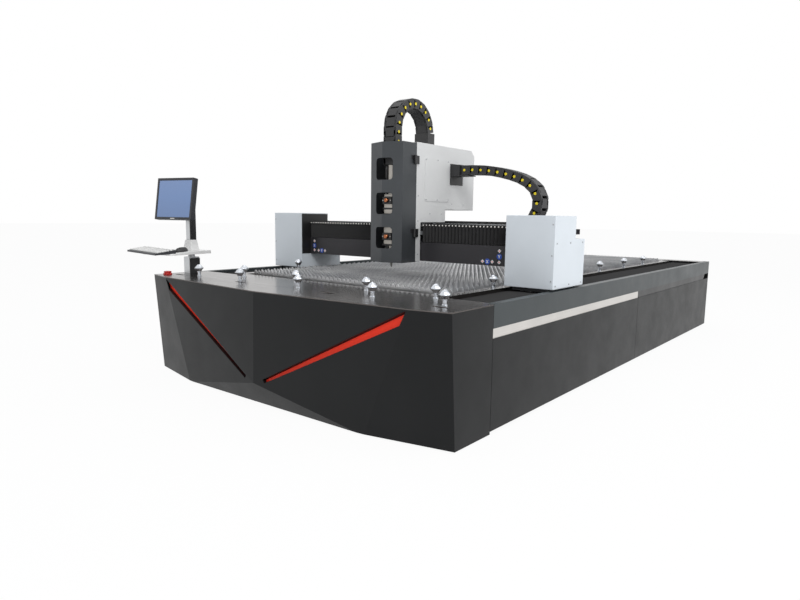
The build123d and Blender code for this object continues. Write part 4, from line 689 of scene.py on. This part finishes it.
for left, count in KEY_BLOCKS:
    for row in range(ROW_COUNT):
        widths = BOTTOM_ROW if row == 0 and count == MAIN_COUNT else (1,) * count
        x = left
        y = FIRST_ROW + row * KEY + (TOP_ROW_GAP if row == ROW_COUNT - 1 else 0)
        for width in widths:
            keys.block((x + KEY_GAP / 2, y + KEY_GAP / 2, -KEY_SUNK),
                       (x + width * KEY - KEY_GAP / 2, y + KEY - KEY_GAP / 2, KEY_RISE),
                       board_top, KEY_EDGE)
            x += width * KEY
piece("keys", keys.mesh("keys"), "key_plastic", "station")
dress(nodes["keyboard"], "bezel_plastic")

MOUSE_SIZE, MOUSE_SIDES, WHEEL_PLACE, WHEEL_SIDES = (0.0295, 0.052, 0.0318, 1), 28, (0, -0.026, 0.0245), 18
MOUSE_DOME = [(0, 0), (1, 0), (1, 0.12), (0.97, 0.36), (0.88, 0.62), (0.7, 0.83), (0.42, 0.96), (0, 1)]
WHEEL_PROFILE = [(0, -0.003), (0.006, -0.003), (0.007, 0), (0.006, 0.003), (0, 0.003)]
mouse_shell = Builder()
mouse_place = rest @ Matrix.Translation(MOUSE_PLACE)
mouse_shell.lathe(MOUSE_DOME, mouse_place @ Matrix.Diagonal(MOUSE_SIZE), MOUSE_SIDES)
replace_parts(piece("mouse_shell", mouse_shell.mesh("mouse_shell"), "black_plastic", "station", True), "mouse")
wheel = Builder()
wheel.lathe(WHEEL_PROFILE, mouse_place @ turned((1, 0, 0), WHEEL_PLACE), WHEEL_SIDES)
piece("mouse_wheel", wheel.mesh("mouse_wheel"), "trim_bright", "station")

screen_frame = station @ Matrix.Translation(SCREEN_PLACE) @ Matrix.Rotation(-LEAN, 4, "X")
CASE_FRONT, CASE_BACK, CASE_LAP, PROUD = -0.064, -0.018, 0.002, 0.0012
BUTTON_COUNT, BUTTON_START, BUTTON_PITCH, BUTTON_WIDTH, BUTTON_EDGE = 5, 0.06, 0.017, 0.011, 0.0006
BUTTON_HEIGHTS, BADGE_HEIGHTS, SEAM_HEIGHTS = (-0.1402, -0.1362), (-0.1412, -0.1352), (-0.1452, -0.1432)
SEAM_REACH, SEAM_PROUD, SEAM_EDGE, BADGE_REACH, BADGE_EDGE = 0.165, 0.0006, 0.0004, 0.02, 0.0008
VENT_COUNT, VENT_START, VENT_PITCH, VENT_WIDTH, VENT_GROUPS = 9, -0.12, 0.012, 0.005, (0, 0.14)
VENT_HEIGHTS, VENT_LAP, VENT_PROUD, VENT_EDGE = (0.03, 0.115), 0.001, 0.0016, 0.0006


def on_case(builder, left, right, heights, proud, edge):
    """A small block that stands out of the monitor's front."""
    builder.block((left, CASE_FRONT - proud, heights[0]), (right, CASE_FRONT + CASE_LAP, heights[1]),
                  screen_frame, edge)


monitor_parts, badge = Builder(), Builder()
for i in range(BUTTON_COUNT):
    left = BUTTON_START + i * BUTTON_PITCH
    on_case(monitor_parts, left, left + BUTTON_WIDTH, BUTTON_HEIGHTS, PROUD, BUTTON_EDGE)
for i in range(VENT_COUNT):
    for group in VENT_GROUPS:
        left = VENT_START + i * VENT_PITCH + group
        monitor_parts.block((left, CASE_BACK - VENT_LAP, VENT_HEIGHTS[0]),
                            (left + VENT_WIDTH, CASE_BACK + VENT_PROUD, VENT_HEIGHTS[1]),
                            screen_frame, VENT_EDGE)
on_case(monitor_parts, -SEAM_REACH, SEAM_REACH, SEAM_HEIGHTS, SEAM_PROUD, SEAM_EDGE)
piece("monitor_details", monitor_parts.mesh("monitor_details"), "trim_black", "monitor")
on_case(badge, -BADGE_REACH, BADGE_REACH, BADGE_HEIGHTS, PROUD, BADGE_EDGE)
piece("monitor_plate", badge.mesh("monitor_plate"), "trim_bright", "monitor")


# Axis marks on the beam panel: blue discs with white letters, and white diamonds with red dots
panel_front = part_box("beam_panel")[0].y
DISC_RADIUS, DISC_SIDES, MARK_THICK, MARK_SUNK = 0.0185, 36, 0.0012, 0.0005
STROKE, STROKE_SUNK, STROKE_EDGE = 0.0042, 0.0004, 0.0003


def panel_spot(x, z, depth=0.0):
    """A place on the panel's front, with Z pointing away from it."""
    return Matrix.Translation((x, panel_front - depth, z)) @ Matrix.Rotation(radians(90), 4, "X")


def stroke(builder, x, z, start, end):
    """A flat white bar between two points of a letter."""
    a, b = Vector(start), Vector(end)
    angle = (b - a).angle_signed(Vector((1, 0)), 0)
    middle = (a + b) / 2
    centre = panel_spot(x, z, MARK_THICK) @ Matrix.Translation((middle.x, middle.y, 0))
    half = (b - a).length / 2
    builder.block((-half, -STROKE / 2, -STROKE_SUNK), (half, STROKE / 2, MARK_THICK),
                  centre @ Matrix.Rotation(angle, 4, "Z"), STROKE_EDGE)


def mark_profile(radius, rim_share, top_share):
    """A thin mark sunk a little into the panel, with a cut rim."""
    return [(0, -MARK_SUNK), (radius, -MARK_SUNK), (radius, MARK_THICK * rim_share),
            (radius * top_share, MARK_THICK), (0, MARK_THICK)]


LETTER = 0.0095
LETTERS = {
    "X": [((-0.7, -1), (0.7, 1)), ((-0.7, 1), (0.7, -1))],
    "Y": [((-0.75, 1), (0, 0)), ((0.75, 1), (0, 0)), ((0, 0), (0, -1))],
}
AXIS_MARKS = (("X", -0.868, 0.858, "up"), ("Y", -0.785, 0.821, "side"),
              ("Y", 0.821, 0.854, "up"), ("X", 0.735, 0.819, "side"))
DIAMOND_REACH, DIAMOND, DOT, DOT_RISE, DOT_SIDES = 0.036, 0.0125, 0.0035, MARK_THICK * 1.5, 14
disc_profile, diamond_profile = mark_profile(DISC_RADIUS, 0.7, 0.95), mark_profile(DIAMOND, 0.8, 0.94)
dot_profile = [(0, 0), (DOT, 0), (DOT, DOT_RISE), (0, DOT_RISE)]
discs, whites, dots = Builder(), Builder(), Builder()
for letter, x, z, way in AXIS_MARKS:
    discs.lathe(disc_profile, panel_spot(x, z), DISC_SIDES)
    for start, end in LETTERS[letter]:
        stroke(whites, x, z, [c * LETTER for c in start], [c * LETTER for c in end])
    for side in (-1, 1):
        step = (0, side * DIAMOND_REACH) if way == "up" else (side * DIAMOND_REACH, 0)
        spot = panel_spot(x + step[0], z + step[1])
        whites.lathe(diamond_profile, spot, 4)
        dots.lathe(dot_profile, spot, DOT_SIDES)
piece("axis_discs", discs.mesh("axis_discs"), "mark_blue", "gantry")
piece("axis_letters", whites.mesh("axis_letters"), "white_paint", "gantry")
piece("axis_dots", dots.mesh("axis_dots"), "accent_red", "gantry")

# Laser head: lens drawers with socket screws, copper knobs and clamp bands
head_box_low, head_box_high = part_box("laser_head")
head_x = (head_box_low.x + head_box_high.x) / 2
head_front = head_box_low.y
DRAWERS = ((0.962, 0.05), (1.1, 0.034), (1.205, 0.05), (1.318, 0.03))
DRAWER_REACH, DRAWER_PROUD, DRAWER_LAP, DRAWER_EDGE = 0.04, 0.012, 0.004, 0.002
DRAWER_SCREW_X, DRAWER_SCREW_RISE = 0.033, 0.004
KNOB_HEIGHTS, KNOB_SIDES = (0.962, 1.205), 20
KNOB_PROFILE = [(0, 0), (0.013, 0), (0.015, 0.003), (0.015, 0.012), (0.0125, 0.015), (0.006, 0.015),
                (0.005, 0.013), (0, 0.013)]
BAND_HEIGHTS, BAND_REACH, BAND_HALF = (0.905, 1.03, 1.15, 1.26), 0.0475, 0.006
BAND_PROUD, BAND_LAP, BAND_EDGE = 0.003, 0.06, 0.0015
drawer_front = head_front - DRAWER_PROUD
drawers, knobs, head_screws = Builder(), Builder(), Builder()
for z, rise in DRAWERS:
    drawers.block((head_x - DRAWER_REACH, drawer_front, z - rise / 2),
                  (head_x + DRAWER_REACH, head_front + DRAWER_LAP, z + rise / 2), None, DRAWER_EDGE)
    for side in (-1, 1):
        spot = (head_x + side * DRAWER_SCREW_X, drawer_front, z)
        screw(head_screws, spot, (0, -1, 0), SMALL_SCREW, DRAWER_SCREW_RISE)
for z in KNOB_HEIGHTS:
    knobs.lathe(KNOB_PROFILE, turned((0, -1, 0), (head_x, drawer_front, z)), KNOB_SIDES)
for z in BAND_HEIGHTS:
    drawers.block((head_x - BAND_REACH, head_front - BAND_PROUD, z - BAND_HALF),
                  (head_x + BAND_REACH, head_front + BAND_LAP, z + BAND_HALF), None, BAND_EDGE)
piece("head_drawers", drawers.mesh("head_drawers"), "motor_black", "head")
piece("head_knobs", knobs.mesh("head_knobs"), "copper", "head")
piece("head_screws", head_screws.mesh("head_screws"), "trim_bright", "head")

# Screws on the carriage box, its access plate and the end covers
screws = {"carriage": Builder(), "gantry": Builder()}
plate_low, plate_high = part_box("access_plate")
INSET = 0.013
for y in (plate_low.y + INSET, (plate_low.y + plate_high.y) / 2, plate_high.y - INSET):
    for z in (plate_low.z + INSET, plate_high.z - INSET):
        screw(screws["carriage"], (plate_high.x, y, z), (1, 0, 0))
box_low, box_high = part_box("carriage_box")
BOX_SCREW_LIFT = 0.03
BOX_SCREWS = ((0.02, 0.02), (0.02, 0.25), (0.02, 0.42), (0.1, 0.02), (0.16, 0.3), (0.3, 0.3),
              (0.42, 0.37), (0.58, 0.37))
for y, z in BOX_SCREWS:
    spot = (box_high.x, box_low.y + y, box_low.z + BOX_SCREW_LIFT + z)
    screw(screws["carriage"], spot, (1, 0, 0), SMALL_SCREW)
cover_low, cover_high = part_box("end_covers")
SIDE_SCREW_YS, SIDE_SCREW_ZS = (0.03, 0.22, 0.4), (0.02, 0.27)
FRONT_SCREW_ZS, FRONT_SCREW_INSET = (0.05, 0.2, 0.38), 0.014
for side in (-1, 1):
    for y in SIDE_SCREW_YS:
        for z in SIDE_SCREW_ZS:
            spot = (side * cover_high.x, cover_low.y + y, cover_low.z + z)
            screw(screws["gantry"], spot, (side, 0, 0))
    for z in FRONT_SCREW_ZS:
        spot = (side * (cover_high.x - FRONT_SCREW_INSET), cover_low.y, cover_low.z + z)
        screw(screws["gantry"], spot, (0, -1, 0), SMALL_SCREW)
for body, builder in screws.items():
    piece("screws_" + body, builder.mesh("screws_" + body), "rail_steel", body)

# Rounded edges on the larger sheet parts
SOFT_EDGES = {
    "end_covers": 0.004, "carriage_box": 0.003, "keyboard_tray": 0.003, "monitor_shell": 0.004,
    "lower_post": 0.002, "upper_post": 0.002, "tray_bracket": 0.003, "front_deck": 0.0012,
}
for node_name, width in SOFT_EDGES.items():
    soften(nodes[node_name], width)


# Red light bars set back behind the fascia's slots, in dark folded edges
TOP_BEND = Vector((-1.036, back(-46), 0.675))
PROW_APEX = Vector((0, back(-132), 0.149))
BASE_LEFT = Vector((-0.7720, back(-50), 0))
SLOT_STARTS, SLOT_END_SHARE, SLOT_SETBACK = (0.010, 0.078), 0.93, 0.006
SLOT_WIDTHS, BAR_DEPTH, FOLD_START, DECK_UNDER = (0.050, 0.022), 0.023, 0.002, 0.668
along = (PROW_APEX - TOP_BEND).normalized()
outward = (BASE_LEFT - TOP_BEND).cross(PROW_APEX - TOP_BEND).normalized()
if outward.y > 0:
    outward = -outward
towards_v = outward.cross(along)
if towards_v.z < 0:
    towards_v = -towards_v
slot_end = (PROW_APEX - TOP_BEND).length * SLOT_END_SHARE


def slot_point(x, y, depth, side):
    """A point of a slot: along the V, towards the V and inwards, on either side."""
    point = TOP_BEND + along * x + towards_v * y - outward * depth
    point.z = min(point.z, DECK_UNDER)
    return Vector((side * -point.x, point.y, point.z))


slot_corners = [(SLOT_STARTS[1], -SLOT_SETBACK - SLOT_WIDTHS[0]), (slot_end, -SLOT_SETBACK - SLOT_WIDTHS[1]),
                (slot_end, -SLOT_SETBACK), (SLOT_STARTS[0], -SLOT_SETBACK)]
BAR_GAP, BAR_SHEET, BAR_LEAD = 0.008, 0.003, 0.025
bar_corners = [(slot_corners[0][0] - BAR_LEAD, slot_corners[0][1]), slot_corners[1],
               (slot_end, slot_corners[2][1] - BAR_GAP),
               (slot_corners[3][0] - BAR_LEAD, slot_corners[3][1] - BAR_GAP)]
walls = [(i, i + 4, (i + 1) % 4 + 4, (i + 1) % 4) for i in range(4)]
bars, folds = Builder(), Builder()
for side in (-1, 1):
    front = [slot_point(x, y, BAR_DEPTH, side) for x, y in bar_corners]
    rear = [slot_point(x, y, BAR_DEPTH + BAR_SHEET, side) for x, y in bar_corners]
    bars.add(front + rear, [(0, 1, 2, 3), (7, 6, 5, 4)] + walls)
    lip = [slot_point(x, y, FOLD_START, side) for x, y in slot_corners]
    folds.add(lip + rear, walls[:3])
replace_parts(piece("light_bars", bars.mesh("light_bars"), "accent_red", "bed"), "accent_strips")
piece("slot_folds", folds.mesh("slot_folds"), "dark_panel", "bed")

# Black sheets on the end covers' inner faces, above the beam: painted shade, standing in for the shadow there
cover_points = [nodes["end_covers"].matrix_world @ v.co for v in nodes["end_covers"].data.vertices]
cover_inner = min(abs(point.x) for point in cover_points)
SHADE_SHEET, SHADE_SHEET_SUNK, SHADE_SHEET_EDGE, SHADE_SHEET_ROUND = 0.0015, 0.0005, 0.006, 0.0004
cover_step = max(point.y for point in cover_points if point.z > cover_high.z - SHADE_SHEET_EDGE)
# Thin black sheets laid on the covers' inner faces: painted shade, not a part the covers have
shade_sheets = Builder()
for side in (-1, 1):
    edges = sorted((side * (cover_inner - SHADE_SHEET), side * (cover_inner + SHADE_SHEET_SUNK)))
    shade_sheets.block((edges[0], cover_low.y + SHADE_SHEET_EDGE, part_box("beam_panel")[0].z),
                  (edges[1], cover_step - SHADE_SHEET_EDGE, cover_high.z - SHADE_SHEET_EDGE), None, SHADE_SHEET_ROUND)
piece("cover_shade_sheets", shade_sheets.mesh("cover_shade_sheets"), "trim_black", "gantry")


# Floor, lights and the pale background
FLOOR_GLOW = 0.94


def stage_plane(name, size, height, material):
    """A flat square that isn't part of the object."""
    mesh = bpy.data.meshes.new(name)
    corners = [(-size, -size, height), (size, -size, height), (size, size, height), (-size, size, height)]
    mesh.from_pydata(corners, [], [(0, 1, 2, 3)])
    obj = bpy.data.objects.new(name, mesh)
    obj.data.materials.append(material)
    scene.collection.objects.link(obj)


def sees_background(tree):
    """1 for camera, glossy and transmission rays, else 0."""
    path = tree.nodes.new("ShaderNodeLightPath")
    first = tree.nodes.new("ShaderNodeMath")
    first.operation = "MAXIMUM"
    second = tree.nodes.new("ShaderNodeMath")
    second.operation = "MAXIMUM"
    tree.links.new(path.outputs["Is Camera Ray"], first.inputs[0])
    tree.links.new(path.outputs["Is Glossy Ray"], first.inputs[1])
    tree.links.new(first.outputs[0], second.inputs[0])
    tree.links.new(path.outputs["Is Transmission Ray"], second.inputs[1])
    return second.outputs[0]


floor = Graph("floor_pale")
floor.shader.inputs["Base Color"].default_value = (0.9, 0.9, 0.9, 1)
floor.shader.inputs["Roughness"].default_value = 0.9
glow = floor.node("ShaderNodeEmission")
glow.inputs["Color"].default_value = (1, 1, 1, 1)
share = floor.node("ShaderNodeMath", operation="MULTIPLY")
share.inputs[1].default_value = FLOOR_GLOW
floor.link(sees_background(floor.tree), share.inputs[0])
blended = floor.node("ShaderNodeMixShader")
floor.link(share.outputs[0], blended.inputs["Fac"])
floor.link(floor.shader.outputs[0], blended.inputs[1])
floor.link(glow.outputs[0], blended.inputs[2])
floor.link(blended.outputs[0], floor.tree.nodes["Material Output"].inputs["Surface"])
stage_plane("floor", 60, -0.001, floor.material)

WORLD_LIGHT = 0.6
world = bpy.data.worlds.new("studio")
scene.world = world
world.use_nodes = True
tree = world.node_tree
tree.nodes.clear()
output = tree.nodes.new("ShaderNodeOutputWorld")
mixed = tree.nodes.new("ShaderNodeMixShader")
seen = tree.nodes.new("ShaderNodeBackground")
seen.inputs["Color"].default_value = (1, 1, 1, 1)
seen.inputs["Strength"].default_value = 1
soft = tree.nodes.new("ShaderNodeBackground")
soft.inputs["Color"].default_value = (0.97, 0.98, 1, 1)
soft.inputs["Strength"].default_value = WORLD_LIGHT
tree.links.new(sees_background(tree), mixed.inputs["Fac"])
tree.links.new(soft.outputs[0], mixed.inputs[1])
tree.links.new(seen.outputs[0], mixed.inputs[2])
tree.links.new(mixed.outputs[0], output.inputs["Surface"])


def lamp(name, place, target, size, power):
    """A soft square lamp that looks at a point."""
    data = bpy.data.lights.new(name, "AREA")
    data.shape = "SQUARE"
    data.size = size
    data.energy = power
    obj = bpy.data.objects.new(name, data)
    obj.location = place
    obj.rotation_euler = (Vector(target) - Vector(place)).to_track_quat("-Z", "Y").to_euler()
    scene.collection.objects.link(obj)


lamp("key", (4.5, -5.5, 6.5), (0, -0.8, 0.7), size=4, power=300)
lamp("side", (7, 1.5, 4), (1, -0.5, 0.6), size=4, power=115)
lamp("top", (-1, 0, 8), (0, 0, 0.6), size=6, power=70)
